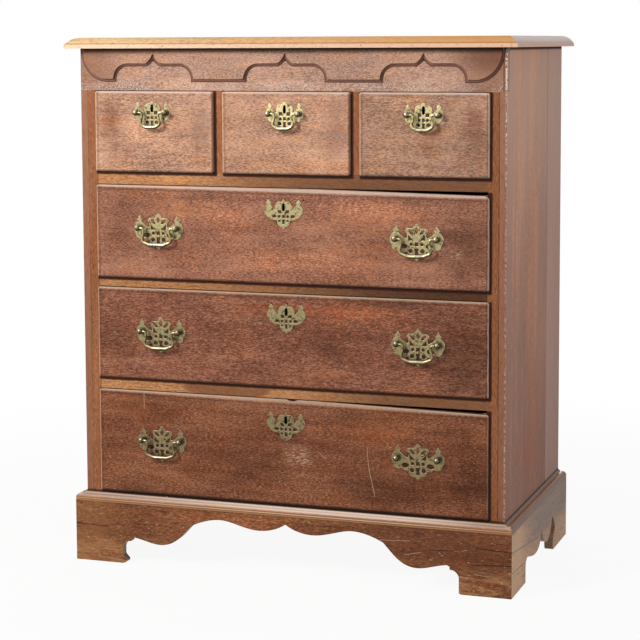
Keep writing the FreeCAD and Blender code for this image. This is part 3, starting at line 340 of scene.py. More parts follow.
def beside_group():
    """Nearness to the outside of an upright rectangle, for painted shadow and dirt beside it."""
    s, take, give = new_group("beside_panel", Low=ORIGIN, High=ORIGIN, Width=0.004, Plane=UPRIGHT,
                              Broken=0.5)
    middle = s.vector("MULTIPLY", s.vector("ADD", take["Low"], take["High"]), (0.5, 0.5, 0.5))
    half = s.vector("SUBTRACT", take["High"], middle)
    out = s.vector("ABSOLUTE", s.vector("SUBTRACT", take["Vector"], middle))
    out = s.vector("MAXIMUM", s.vector("SUBTRACT", out, half), ORIGIN)
    away = s.vector("LENGTH", s.vector("MULTIPLY", out, take["Plane"]))
    away = s.math("MULTIPLY_ADD", s.ragged(take["Vector"], 70.0, 3.0, 0.6),
                  s.math("MULTIPLY", take["Width"], take["Broken"]), away)
    s.feed(give["Mask"], s.step(away, take["Width"], s.math("MULTIPLY", take["Width"], 0.35)))
    return s.tree


def speck_group():
    """Small broken specks, as where a finish has chipped; Amount runs from 0 to 1."""
    s, take, give = new_group("chipped_specks", Stretch=(1, 1, 1), Scale=260.0, Amount=0.3)
    grain = s.noise(s.vector("MULTIPLY", take["Vector"], take["Stretch"]), take["Scale"], 2.0, 0.6)
    bound = s.math("MULTIPLY_ADD", take["Amount"], -0.32, 0.74)
    s.feed(give["Mask"], s.step(grain, bound, s.math("ADD", bound, 0.05)))
    return s.tree


GROUPS = {}


def build_groups():
    """Build each shared group once."""
    GROUPS.update(figure=figure_group(), spot=spot_group(), stroke=stroke_group(),
                  turn=turn_group(), beside=beside_group(), speck=speck_group())


class Finish:
    """One material in the making: a colour and a height that layers are laid over."""

    def __init__(self, name, roughness, metallic=0.0):
        self.material = bpy.data.materials.new(name)
        self.material.use_nodes = True
        self.s = Shader(self.material.node_tree)
        self.shader = self.s.nodes["Principled BSDF"]
        self.shader.inputs["Roughness"].default_value = roughness
        self.shader.inputs["Metallic"].default_value = metallic
        place = self.s.nodes.new("ShaderNodeTexCoord")
        self.where = place.outputs["Object"]
        self.normal = place.outputs["Normal"]
        self.colour = self.height = self.rough = None

    def lay(self, mask, value, strength=1.0, blend="MIX"):
        """Lay a colour over what is there, where the mask says."""
        if strength != 1.0:
            mask = self.s.math("MULTIPLY", mask, strength)
        paint = (*value, 1.0) if blend == "MULTIPLY" else linear(value)
        self.colour = self.s.mix(mask, self.colour, paint, blend)

    def layers(self, *rows):
        """Lay several colours in turn, each row a mask, a colour and perhaps a strength."""
        for row in rows:
            self.lay(*row)

    def shade(self, mask, factor):
        """Darken by a factor under 1, or lighten by a factor over 1, keeping the grain."""
        if factor < 1.0:
            change = (factor, factor * 0.94, factor * 0.9)
        else:
            change = (factor ** 2.2, factor ** 2.1, factor ** 1.8)
        self.lay(mask, change, blend="MULTIPLY")

    def sink(self, mask, depth):
        """Press the surface in where the mask says."""
        self.height = self.s.math("MULTIPLY_ADD", mask, -depth, self.height)

    def part(self, axis):
        """One object coordinate."""
        return self.s.add("ShaderNodeSeparateXYZ", (self.where,)).outputs[axis]

    def x(self, low, high):
        """A smooth step along X, from 0 at low to 1 at high."""
        return self.s.step(self.part(X), low, high)

    def y(self, low, high):
        """A smooth step along Y."""
        return self.s.step(self.part(Y), low, high)

    def z(self, low, high):
        """A smooth step along Z."""
        return self.s.step(self.part(Z), low, high)

    def aside(self, low, high):
        """A smooth step by the distance from the middle, to the left or right."""
        return self.s.step(self.s.math("ABSOLUTE", self.part(X)), low, high)

    def band(self, axis, centre, width):
        """A band about one place along an axis."""
        return self.s.band(self.part(axis), centre, width)

    def noise(self, *looks, stretch=None):
        """Noise on object coordinates, which may be stretched first."""
        where = self.s.vector("MULTIPLY", self.where, stretch) if stretch else self.where
        return self.s.noise(where, *looks)

    def facing(self, axis, low, high):
        """How far the surface faces along an axis, stepped between two cosines."""
        return self.s.step(self.s.vector("DOT_PRODUCT", self.normal, axis), low, high)

    def both(self, *masks):
        """Where every mask holds."""
        joined = masks[0]
        for mask in masks[1:]:
            joined = self.s.math("MULTIPLY", joined, mask)
        return joined

    def mask(self, kind, **values):
        """A mask from one of the shared groups, on object coordinates."""
        return self.s.group(GROUPS[kind], Vector=self.where, **values).outputs["Mask"]

    def spot(self, centre, size, soft=0.8, broken=0.3):
        return self.mask("spot", Centre=centre, Size=size, Soft=soft, Broken=broken)

    def oval(self, x, z, half_x, half_z, soft=0.8, broken=0.3):
        """A spot on a drawer's front, in millimetres."""
        size = (half_x / 1000, 1.0, half_z / 1000)
        return self.spot(mm(x, LIP_FACE, z), size, soft, broken)

    def stroke(self, start, end, width, broken, **more):
        return self.mask("stroke", Start=start, End=end, Width=width, Broken=broken, **more)

    def mark(self, y, start, end, width, broken):
        """A stroke on a face at the front, between two (x, z) in millimetres."""
        (x0, z0), (x1, z1) = start, end
        return self.stroke(mm(x0, y, z0), mm(x1, y, z1), width, broken)

    def specks(self, stretch, scale, amount):
        return self.mask("speck", Stretch=stretch, Scale=scale, Amount=amount)

    def turned(self, low, high, broken=0.5, axis=BACKWARD):
        """Where the surface turns away from an axis."""
        return self.mask("turn", Normal=self.normal, Axis=axis, From=low, To=high, Broken=broken)

    def done(self, bump=0.3, distance=0.0006):
        """Join everything to the shader and return the material."""
        bumped = self.s.add("ShaderNodeBump", {"Strength": bump, "Distance": distance,
                                               "Height": self.height})
        self.s.feed(self.shader.inputs["Base Color"], self.colour)
        self.s.feed(self.shader.inputs["Normal"], bumped.outputs[0])
        if self.rough is not None:
            self.s.feed(self.shader.inputs["Roughness"], self.rough)
        return self.material


GRAIN_TURN = {"x": (0, 0, 0), "y": (0, 0, math.pi / 2), "z": (0, math.pi / 2, 0)}


def oak(name, grain, middle, seed, contrast=1.0, flecks=0.5, roughness=0.42, gloss=0.12,
        spread=0.3, squeeze=1.0):
    """An oak finish with its grain along one axis; a squeeze under 1 draws the figure out."""
    worn_and_highlight = bpy.context.scene.chest_oak.worn_and_highlight
    finish = Finish(name, roughness)
    finish.shader.inputs["Specular IOR Level"].default_value = gloss
    s = finish.s
    along = [squeeze if axis == grain else 1.0 for axis in "xyz"]
    turned = s.add("ShaderNodeMapping", {"Vector": finish.where, "Rotation": GRAIN_TURN[grain],
                                         "Scale": along})
    pale = between(tint(middle, 1.0 + 0.45 * spread), worn_and_highlight, 0.8 * spread)
    figure = s.group(GROUPS["figure"], Vector=turned.outputs[0], Seed=seed, Pale=linear(pale),
                     Middle=linear(middle), Dark=linear(tint(middle, 1.0 - spread)),
                     Contrast=contrast, Flecks=flecks)
    finish.colour = figure.outputs["Color"]
    finish.height = figure.outputs["Height"]
    finish.rough = s.math("ADD", figure.outputs["Roughness"], roughness - 0.2)
    return finish


def put_on(material, *names):
    """Give the material to CAD nodes."""
    for name in names:
        mesh = NODES[name].data
        mesh.materials.clear()
        mesh.materials.append(material)


def mm(x, y, z):
    """Millimetres from the middle, the case front and the floor, in the frame's metres."""
    return Vector((x / 1000, y / 1000 + FRONT, z / 1000))


# ---------------------------------------------------------------- pieces made here
def placed(name, data):
    """A new object in the scene."""
    thing = bpy.data.objects.new(name, data)
    bpy.context.scene.collection.objects.link(thing)
    return thing


def new_piece(name, mesh, body, material, replaced=()):
    """Place a finished mesh as a piece that rides on a body."""
    piece = placed(name, mesh)
    mesh.materials.clear()
    mesh.materials.append(material)
    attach(piece, body)
    if replaced:
        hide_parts(*replaced)


def plain_mesh(source, name):
    """The evaluated object as a plain mesh; the source is removed."""
    graph = bpy.context.evaluated_depsgraph_get()
    mesh = bpy.data.meshes.new_from_object(source.evaluated_get(graph))
    mesh.name = name
    data = source.data
    bpy.data.objects.remove(source)
    if isinstance(data, bpy.types.Curve):
        bpy.data.curves.remove(data)
    return mesh


def welded(mesh):
    """The mesh to work on, with vertices on the same spot joined."""
    work = bmesh.new()
    work.from_mesh(mesh)
    bmesh.ops.remove_doubles(work, verts=work.verts, dist=SAME_SPOT)
    return work


def front_loops(node):
    """Closed outlines, as lists of (x, z), of the flat faces at the very front of a node."""
    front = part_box(node)[0].y
    work = welded(NODES[node].data)
    work.edges.index_update()
    flat = {f for f in work.faces if all(abs(v.co.y - front) < ON_PLANE for v in f.verts)}
    rim = {e for f in flat for e in f.edges if sum(g in flat for g in e.link_faces) == 1}
    loops = []
    while rim:
        edge = min(rim, key=lambda e: e.index)
        rim.discard(edge)
        start, here = edge.verts
        loop = [start]
        while here is not start:
            loop.append(here)
            edge = next(e for e in here.link_edges if e in rim)
            rim.discard(edge)
            here = edge.other_vert(here)
        loops.append([(v.co.x, v.co.z) for v in loop])
    work.free()
    return loops


def cut_board(node, name, bevel, offset, y0, y1):
    """A node's front outline cut again as a flat board between two depths."""
    curve = bpy.data.curves.new(name, "CURVE")
    curve.dimensions = "2D"
    curve.fill_mode = "BOTH"
    curve.bevel_depth = bevel
    curve.bevel_resolution = 1
    curve.offset = offset - bevel
    curve.extrude = (y1 - y0) / 2 - bevel
    for loop in front_loops(node):
        spline = curve.splines.new("POLY")
        spline.points.add(len(loop) - 1)
        for point, (x, z) in zip(spline.points, loop):
            point.co = (x, z, 0.0, 1.0)
        spline.use_cyclic_u = True
    mesh = plain_mesh(placed(name, curve), name)
    mesh.transform(Matrix(((1, 0, 0, 0), (0, 0, -1, (y0 + y1) / 2), (0, 1, 0, 0), (0, 0, 0, 1))))
    work = welded(mesh)
    bmesh.ops.recalc_face_normals(work, faces=work.faces)
    work.to_mesh(mesh)
    work.free()
    return mesh


def plate_outlines(drawer):
    """Middle x and z, width and height of each outline on a drawer's plates."""
    rows = []
    for loop in front_loops(drawer + "_plates"):
        xs, zs = zip(*loop)
        rows.append(((max(xs) + min(xs)) / 2, (max(zs) + min(zs)) / 2, max(xs) - min(xs),
                     max(zs) - min(zs)))
    return rows


def hole_places(drawer, *size):
    """Middles, as (x, z), of the holes of one size in a drawer's plates."""
    return [(x, z) for x, z, *found in plate_outlines(drawer)
            if all(abs(a - b) < slack for a, b, slack in zip(found, size, HOLE_SLACK))]


# ---------------------------------------------------------------- operators
class ChestOperator(bpy.types.Operator):
    """Shared start of the chest's operators."""

    bl_options = {"REGISTER"}

    @property
    def wood(self):
        return bpy.context.scene.chest_oak

    @property
    def metal(self):
        return bpy.context.scene.chest_brass


# patches on each front: x, z, half width, half height; millimetres, and how dark or rubbed
PATCHES = {
    "short_left": [
        (-300, 900, 90, 46, 1.1), (-380, 930, 40, 60, 0.86), (-200, 840, 60, 30, 1.04),
        (-345, 860, 26, 60, 0.9), (-270, 985, 110, 18, 1.08), (-230, 905, 50, 40, 0.9),
        (-374, 880, 40, 90, 0.8), (-186, 880, 36, 90, 0.82), (-385, 925, 44, 70, 0.8),
        (-182, 915, 40, 70, 0.86)],
    "short_middle": [
        (20, 850, 110, 40, 1.04), (-90, 930, 50, 60, 1.06), (40, 975, 90, 12, 1.12),
        (98, 885, 36, 84, 0.82), (-95, 842, 40, 34, 0.88), (-30, 955, 50, 28, 1.1),
        (40, 838, 50, 26, 0.93), (112, 915, 36, 70, 0.84)],
    "short_right": [
        (392, 890, 44, 90, 0.74), (300, 880, 40, 60, 0.84), (240, 965, 80, 22, 1.16),
        (220, 850, 70, 26, 1.05)],
    "long_high": [
        (-370, 690, 70, 110, 0.70), (-170, 735, 130, 50, 1.16), (170, 750, 180, 32, 1.26),
        (30, 640, 190, 44, 1.16), (370, 680, 90, 110, 0.52), (-240, 650, 60, 50, 0.88),
        (-30, 720, 60, 40, 0.84), (210, 660, 100, 60, 0.9), (-365, 606, 100, 24, 0.8)],
    "long_middle": [
        (-240, 510, 80, 30, 1.1), (120, 545, 170, 26, 1.1), (370, 470, 120, 120, 0.52),
        (-60, 420, 220, 30, 0.8), (90, 480, 70, 50, 0.9), (-370, 480, 80, 100, 0.72),
        (180, 530, 150, 40, 1.16), (-320, 402, 140, 24, 0.82), (60, 396, 110, 20, 0.86),
        (250, 450, 60, 30, 0.86)],
    "long_low": [
        (22, 250, 62, 34, 1.08), (-70, 205, 90, 34, 0.8), (-150, 250, 24, 60, 0.9),
        (200, 300, 150, 50, 1.14), (385, 230, 70, 100, 0.62), (240, 190, 200, 34, 0.74),
        (-350, 280, 110, 90, 0.88), (300, 240, 60, 50, 0.86), (370, 326, 60, 44, 0.78),
        (-150, 262, 46, 40, 1.05), (-350, 352, 90, 24, 1.16), (60, 300, 50, 30, 1.1),
        (-290, 250, 50, 30, 0.9)],
}
# places where the wood under the finish shows through, with its colour
GLOWS = {
    "short_left": [(-178, 915, 44, 84, (0.66, 0.55, 0.52))],
    "short_middle": [(112, 915, 44, 84, (0.64, 0.53, 0.51))],
    "short_right": [
        (380, 850, 60, 30, (0.66, 0.38, 0.26)), (300, 900, 60, 20, (0.72, 0.46, 0.32)),
        (390, 925, 50, 64, (0.54, 0.28, 0.20))],
    "long_high": [
        (-235, 748, 90, 26, (0.78, 0.52, 0.30)), (175, 728, 150, 40, (0.80, 0.52, 0.32))],
    "long_middle": [
        (110, 548, 190, 22, (0.70, 0.34, 0.16)), (-60, 548, 70, 20, (0.66, 0.34, 0.17))],
    "long_low": [
        (190, 310, 130, 34, (0.64, 0.35, 0.18)), (-330, 330, 70, 30, (0.56, 0.31, 0.18))],
}
# rubbed places made of many short strokes
SCUFFS = {"long_low": [(24, 250, 46, 30)], "long_high": [(352, 672, 22, 18)]}
# scratches: start, end, width; millimetres
SCRATCHES = {
    "long_low": [((-315, 362), (-315, 326), 0.8), ((169, 277), (173.5, 233), 0.8),
                 ((173.5, 233), (186, 179), 0.9), ((66, 262), (82, 250), 0.7)],
    "short_middle": [((-30, 905), (-16, 903), 0.8), ((48, 890), (58, 894), 0.8)],
    "long_high": [((-140, 697), (-132, 699), 1.0)],
    "long_middle": [((-382, 486), (-372, 480), 0.9), ((300, 470), (326, 468), 0.7)],
}
# small dark holes: x, z; millimetres
HOLES = {"long_high": [(38, 769)], "long_middle": [(-31, 560), (1.5, 560.5), (31, 561)]}


def front_material(wood, drawer, middle, seed):
    """The oak of one drawer front, with its own marks."""
    short = drawer in SHORT
    finish = oak("oak_" + drawer + "_front", "x", middle, seed, squeeze=0.8,
                 flecks=0.35 if short else 0.55, contrast=1.0 if short else 1.15)
    for *place, factor in PATCHES[drawer]:
        finish.shade(finish.oval(*place, 0.95, 0.5), factor)
    for x, z, wide, high in plate_outlines(drawer):
        if wide > SMALLEST_PLATE:
            # round each plate: polish residue with painted shade; under its piercings, dirt with
            # painted shade
            halo = finish.spot((x, 0, z), (wide * 0.56, 1.0, high * 0.575), 0.45, 0.5)
            finish.shade(halo, 0.88)
            holes = finish.spot((x, 0, z - 0.05 * high), (wide * 0.36, 1.0, high * 0.4), 0.3, 0.1)
            finish.lay(holes, tint(wood.grime_and_shade, 1.7), 0.75)
    for x, z in hole_places(drawer, *KEYHOLE):
        # painted shade in and around the keyhole
        dark = finish.spot((x, 0, z), KEY_DARK, 0.2, 0.0)
        finish.lay(dark, (0.03, 0.02, 0.02), 0.95)
    for *place, paint in GLOWS[drawer]:
        glow = finish.both(finish.oval(*place, 0.95, 0.6),
                           finish.specks((0.3, 1, 1.6), 110.0, 0.85))
        finish.lay(glow, paint, 0.42)
    finish.lay(finish.specks((1, 1, 2.4), 190.0, 0.1), wood.worn_and_highlight, 0.5)
    edge_light_shade_and_wear(finish, wood, drawer)
    for start, end, width in SCRATCHES.get(drawer, ()):
        finish.lay(finish.mark(LIP_FACE, start, end, width / 1000, 0.42), wood.worn_and_highlight, 0.5)
    for place in SCUFFS.get(drawer, ()):
        scuff = finish.both(finish.oval(*place), finish.specks((0.3, 1, 1.3), 420.0, 0.72))
        finish.lay(scuff, wood.worn_and_highlight, 0.4)
    for x, z in HOLES.get(drawer, ()):
        hole = finish.oval(x, z, 2.6, 2.2, 0.5, 0.2)
        finish.lay(hole, wood.grime_and_shade)
        finish.sink(hole, 2.0)
    return finish.done(0.5)


def top_line(node):
    """The two ends of a front's top edge, which may slope."""
    corners = [v.co for v in NODES[node].data.vertices]
    return [Vector((x, 0, max(c.z for c in corners if abs(c.x - x) < FRONT_END)))
            for x in (end.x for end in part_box(node))]


def edge_light_shade_and_wear(finish, wood, drawer):
    """The lipped edge: painted highlights with wear on the top and the sides, and painted shade as
    a brown line below, inside the edges and behind the lip.
    """
    low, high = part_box(drawer + "_front")
    left_top, right_top = top_line(drawer + "_front")
    right = Vector((high.x, 0, low.z))
    short, lowest = drawer in SHORT, drawer == "long_low"
    # a pale strip along the top: painted highlight with wear
    if short or drawer == "long_high":
        top = (0.85 if short else 0.62, (0.93, 0.82, 0.76))
    else:
        top = (0.42, wood.worn_and_highlight)
    # pale lines are painted highlights with wear, dark lines are painted shade
    # each line's ends, how far it lies to the right and up in millimetres, width, strength,
    # colour and how broken it is
    lines = [
        (left_top, right_top, 0, 0, 0.0054, *top, 0.36),
        (left_top, right_top, 0, -7.8, 0.0024, 0.12 if short else 0.4, tint(wood.grime_and_shade, 2.6), 0.3),
        (low, right, 0, 0, 0.0066, 0.78, tint(wood.grime_and_shade, 2.2), 0.1),
        (low, right, 0, 0, 0.0092 if lowest else 0.0014, 0.95, wood.grime_and_shade, 0.0),
        (low, left_top, 1.2, 0, 0.0026, 0.45, wood.worn_and_highlight, 0.45),
        (low, left_top, 6.2, 0, 0.0034, 0.3, tint(wood.grime_and_shade, 2.6), 0.3)]
    if drawer in ("short_left", "short_middle"):
        lines.append((right, right_top, -1.8, 0, 0.0044, 0.66, tint(wood.grime_and_shade, 2.2), 0.1))
    else:
        lines += [
            (right, right_top, -1.2, 0, 0.0016, 0.18 if lowest else 0.6, (0.84, 0.74, 0.70), 0.5),
            (right, right_top, -4.6, 0, 0.0015, 0.5, tint(wood.grime_and_shade, 2.4), 0.4)]
    for first, last, dx, dz, width, strength, paint, broken in lines:
        shift = Vector((dx, 0, dz)) / 1000
        line = finish.stroke(first + shift, last + shift, width, broken, Sway=0.0022)
        finish.lay(line, paint, strength)
    # the rounded lip: painted highlight with wear where it faces up, painted shade where it faces
    # down, and painted shade behind the lip
    turn = finish.turned(0.05, 0.45, 0.4)
    finish.layers(
        (finish.both(turn, finish.facing(UP, 0.1, 0.45)), wood.worn_and_highlight, 0.6),
        (finish.both(turn, finish.facing(DOWN, 0.1, 0.5)), wood.grime_and_shade, 0.8),
        (finish.y(low.y + 0.0032, low.y + 0.0046), wood.grime_and_shade, 0.8))


class CHEST_OT_drawer_fronts(ChestOperator):
    """Finish the six lipped drawer fronts"""

    bl_idname = "chest.drawer_fronts"
    bl_label = "Drawer fronts"

    def execute(self, context):
        wood = self.wood
        middles = (wood.short_front, wood.short_front, tint(wood.short_front, 0.89),
                   wood.high_front, wood.middle_front, wood.low_front)
        for index, (drawer, middle) in enumerate(zip(DRAWERS, middles)):
            put_on(front_material(wood, drawer, middle, 3.0 + 2.3 * index), drawer + "_front")
        return {"FINISHED"}


def lip_shadow_and_dirt(finish, drawers, strength=0.95):
    """Painted shadow with dirt on the case beside the lips of some drawers, set off to the right
    and down as a shadow falls, widest at the right-hand ends.
    """
    for drawer in drawers:
        low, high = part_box(drawer + "_front")
        dirt = finish.mask("beside", Low=low + Vector((0.0024, 0, -0.0024)),
                           High=high + Vector((0.0026, 0, -0.0020)), Width=0.0042, Broken=0.6)
        finish.lay(dirt, LIP_SHADE, strength)


def foot_shade_and_dirt(finish, wood, strength):
    """Painted shade with dirt low on the case, in the corner where it meets the base."""
    finish.lay(finish.z(FOOT + 0.005, FOOT + 0.0015), wood.grime_and_shade, strength)


def frieze_top_shadow(finish, wood):
    """Painted shadow high on the frieze, under the top board."""
    finish.lay(finish.z(CASE_HIGH.z - 0.012, CASE_HIGH.z - 0.002), wood.grime_and_shade, 0.92)


def make_top(wood):
    """The top board: golden, with a pale nose that is wear with painted highlight, and a grey
    right-hand end with a painted highlight on its upward faces.
    """
    low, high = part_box("top_board")
    finish = oak("oak_top", "x", wood.top, 21.0, contrast=1.1, flecks=0.45, roughness=0.36,
                 squeeze=0.4)
    s = finish.s
    nose = finish.z(low.z + 0.0086, low.z + 0.0064)
    from_end = s.math("SUBTRACT", high.x, finish.part(X))
    from_front = s.math("SUBTRACT", finish.part(Y), low.y)
    past_mitre = s.math("SUBTRACT", from_front, from_end)
    grey = finish.both(s.step(past_mitre, -0.0008, 0.0008), s.step(from_end, 0.022, 0.017))
    rubbed = finish.both(finish.facing(UP, 0.25, 0.7), finish.turned(0.02, 0.3, axis=UP))
    finish.layers(
        (finish.x(low.x, high.x), (0.93, 0.60, 0.21), 0.76),
        (rubbed, wood.worn_and_highlight, 0.3),
        # pale nose: wear with painted highlight
        (nose, (0.97, 0.84, 0.76), 0.66),
        (finish.band(Z, low.z + 0.0094, 0.0018), (0.56, 0.34, 0.18), 0.55),
        (grey, (0.80, 0.61, 0.53), 0.9),
        # painted highlight on the upward faces of the grey end
        (finish.both(grey, finish.facing(UP, 0.45, 0.85)), (0.98, 0.93, 0.90), 0.85),
        (finish.both(finish.specks((1, 1, 1), 210.0, 0.3), nose), tint(wood.grime_and_shade, 2.5), 0.5),
        (finish.facing(DOWN, 0.5, 0.9), tint(wood.inner, 0.6), 0.8))
    put_on(finish.done(0.4), "top_board")


def make_sides(wood):
    """The sides: painted light that leaves them paler above and duller below, with a seam, and a
    chipped arris at the right.
    """
    for seed, name in ((31.0, "side_left"), (36.0, "side_right")):
        low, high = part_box(name)
        finish = oak("oak_" + name, "z", wood.side, seed, contrast=0.75, flecks=0.35,
                     roughness=0.55, gloss=0.0, spread=0.2, squeeze=0.5)
        s = finish.s
        bands = finish.noise(15.0, 4.0, 0.62, 0.3, stretch=(0, 1, 0.05))
        seam = finish.stroke((0, SEAM, low.z), (0, SEAM, high.z), 0.0014, 0.1, Plane=(0, 1, 1))
        front = finish.facing(FORWARD, 0.5, 0.9)
        streaks = s.step(finish.noise(60.0, stretch=(7, 1, 1)), 0.48, 0.66)
        finish.layers(
            (s.step(bands, 0.46, 0.60), (0.68, 0.57, 0.53), 0.6),
            (s.step(bands, 0.49, 0.36), (0.80, 0.62, 0.51), 0.4),
            # paler above and duller below: painted light
            (finish.z(0.62, 1.0), (0.90, 0.75, 0.67), 0.46),
            (finish.z(0.80, 0.1), (0.51, 0.40, 0.38), 0.55),
            (finish.spot((0, FRONT + 0.2, 0.25), (9.0, 0.16, 0.10), 0.9, 0.4), (0.66, 0.42, 0.34),
             0.3),
            (finish.y(SEAM - 0.001, SEAM + 0.001), (0.76, 0.66, 0.63), 0.56),
            (seam, wood.grime_and_shade, 0.75),
            (finish.specks((1, 1, 0.6), 170.0, 0.12), wood.worn_and_highlight, 0.6),
            (front, wood.stile, 0.72),
            (finish.both(front, streaks), tint(wood.stile, 0.6), 0.3))
        finish.sink(seam, 1.0)
        if name == "side_right":
            arris = finish.stroke((high.x, FRONT, low.z), (high.x, FRONT, high.z), 0.0046, 0.1,
                                  Plane=(1, 1, 1))
            upper = s.math("MULTIPLY_ADD", finish.z(0.78, 0.98), 0.5, 0.35)
            scuffed = finish.both(finish.spot((high.x, FRONT + 0.28, 0.815), (1, 0.026, 0.022)),
                                  finish.specks((1, 1.4, 0.6), 330.0, 0.6))
            finish.layers(
                (finish.both(arris, finish.specks((1, 1, 0.7), 260.0, 0.72), upper),
                 (0.95, 0.88, 0.82)),
                (scuffed, (0.86, 0.74, 0.62), 0.7))
        foot_shade_and_dirt(finish, wood, 0.7)
        # painted shadow under the top board
        finish.lay(finish.z(CASE_HIGH.z - 0.0075, CASE_HIGH.z - 0.003), wood.grime_and_shade, 0.85)
        put_on(finish.done(0.3), name)


def make_front_members(wood):
    """The stiles, the dividers and the rails, with painted shadow and dirt beside the lips, and
    painted shade on the rails.
    """
    low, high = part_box("stiles")
    looks = {"contrast": 0.6, "flecks": 0.25, "squeeze": 0.5}
    finish = oak("oak_stiles", "z", wood.stile, 41.0, **looks)
    for x, strength in ((low.x, 0.25), (high.x, 0.8)):
        finish.lay(finish.stroke((x, 0, low.z), (x, 0, high.z), 0.0018, 0.25), wood.grime_and_shade, strength)
    lip_shadow_and_dirt(finish, ("short_left", "short_right") + LONG)
    foot_shade_and_dirt(finish, wood, 0.8)
    put_on(finish.done(0.4), "stiles")

    finish = oak("oak_dividers", "z", tint(wood.stile, 1.1), 44.0, **looks)
    lip_shadow_and_dirt(finish, SHORT)
    put_on(finish.done(0.4), "drawer_dividers")

    finish = oak("oak_rails", "x", wood.rail, 47.0, contrast=0.7, flecks=0.25, squeeze=0.6)
    for z, factor in ((805, 1.10), (377, 1.11)):
        finish.shade(finish.spot(mm(-330, 0, z), (0.16, 1.0, 0.03)), factor)
    # each rail darker towards its right-hand part: painted shade, darkest on the rail under the
    # high drawer
    for z, x0, x1, paint, strength in (
            (0.805, -0.24, 0.05, (0.42, 0.27, 0.19), 0.75),
            (0.589, -0.36, 0.30, (0.20, 0.09, 0.04), 0.86),
            (0.377, -0.02, 0.25, (0.42, 0.27, 0.18), 0.75)):
        level = finish.s.step(finish.band(Z, z, 0.06), 0.0, 0.3)
        finish.lay(finish.both(level, finish.x(x0, x1)), paint, strength)
    aged = finish.spot(mm(-133, 0, 379), (0.101, 1.0, 0.02), 0.12, 0.02)
    finish.lay(aged, (0.47, 0.29, 0.20), 0.7)
    lip_shadow_and_dirt(finish, DRAWERS)
    put_on(finish.done(0.4), "drawer_blades")


def make_frieze_rail(wood):
    """The frieze rail: darker ends, a rough lower edge and a chipped right-hand arris."""
    finish = oak("oak_frieze_rail", "x", wood.frieze, 51.0, contrast=0.85, flecks=0.45)
    end = CASE_HIGH.x
    rough = finish.both(finish.z(CASE_LOW.z + 0.034, CASE_LOW.z + 0.008),
                        finish.specks((1, 1, 1.3), 310.0, 0.66),
                        finish.s.step(finish.noise(16.0, 3.0), 0.36, 0.56))
    chips = finish.both(finish.x(end - 0.0040, end - 0.0028),
                        finish.y(FRONT + 0.0034, FRONT + 0.0020),
                        finish.specks((1, 1, 0.7), 260.0, 0.85))
    finish.layers(
        (finish.aside(0.30, 0.44), (0.56, 0.38, 0.28), 0.6),
        (rough, (0.92, 0.84, 0.80), 0.62),
        (finish.x(end - 0.0070, end - 0.0064), wood.stile, 0.7),
        (finish.facing(RIGHT, 0.5, 0.9), (0.66, 0.46, 0.38), 0.8),
        (finish.band(X, end - 0.0068, 0.0014), wood.grime_and_shade, 0.7),
        (chips, (0.95, 0.90, 0.86), 0.85))
    lip_shadow_and_dirt(finish, SHORT, 0.6)
    frieze_top_shadow(finish, wood)
    put_on(finish.done(0.4), "frieze_rail")


def make_fretted_board(wood):
    """The fretted board cut again with a rounded arris, dark with dirt and painted shade, with a
    painted highlight where it faces up and to the left.
    """
    finish = oak("oak_frieze_fret", "x", tint(wood.frieze, 0.98), 54.0, contrast=0.85, flecks=0.45)
    lobe = finish.both(finish.x(0.31, 0.41), finish.z(CASE_HIGH.z - 0.060, CASE_HIGH.z - 0.022))
    turn = finish.turned(0.06, 0.4, 0.3)
    finish.lay(finish.aside(0.3, 0.44), (0.58, 0.39, 0.28), 0.7)
    finish.shade(lobe, 0.62)
    finish.layers(
        (lobe, (0.54, 0.33, 0.28), 0.2),
        # arris dark with dirt and painted shade
        (turn, (0.17, 0.09, 0.06), 0.9),
        # painted highlight on the arris where it faces up and to the left
        (finish.both(turn, finish.facing((-0.8, 0, 0.6), 0.2, 0.6)), wood.worn_and_highlight, 0.35),
        (finish.facing(FORWARD, 0.5, 0.15), (0.46, 0.28, 0.18), 0.9))
    frieze_top_shadow(finish, wood)
    low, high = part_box("frieze_fret")
    mesh = cut_board("frieze_fret", "fretted_board", wood.fret_arris, 0.0, low.y, high.y)
    new_piece("fretted_board", mesh, "carcase", finish.done(0.4), ("frieze_fret",))


def make_wax_and_shadow_line(wood):
    """Old dark wax with painted shadow in the corner between the fretted board and the frieze rail,
    rubbed brown.
    """
    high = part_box("frieze_fret")[1]
    for name, width, depth, dark, pale in (
            ("fret_wax", wood.wax_width, 0.0012, tint(wood.grime_and_shade, 0.8), tint(wood.grime_and_shade, 2.2)),
            ("fret_wax_rubbed", wood.wax_width - 0.0018, 0.0017, (0.38, 0.18, 0.10),
             (0.62, 0.36, 0.25))):
        finish = Finish(name, 0.5)
        finish.height = finish.noise(300.0, 3.0, 0.6)
        finish.colour = finish.s.mix(finish.height, linear(dark), linear(pale))
        mesh = cut_board("frieze_fret", name, 0.0004, width, high.y - depth, high.y)
        # the line is moved left by the shift, wider beside left-facing edges and narrower beside
        # right-facing ones
        for vertex in mesh.vertices:
            vertex.co.x = min(max(vertex.co.x - wood.wax_shift, CASE_LOW.x), CASE_HIGH.x)
            vertex.co.z = min(vertex.co.z, high.z)
        new_piece(name, mesh, "carcase", finish.done(0.4))


class CHEST_OT_case(ChestOperator):
    """Finish the top, sides, stiles, rails and frieze"""

    bl_idname = "chest.case"
    bl_label = "Case"

    def execute(self, context):
        for make in (make_top, make_sides, make_front_members, make_frieze_rail,
                     make_fretted_board, make_wax_and_shadow_line):
            make(self.wood)
        return {"FINISHED"}


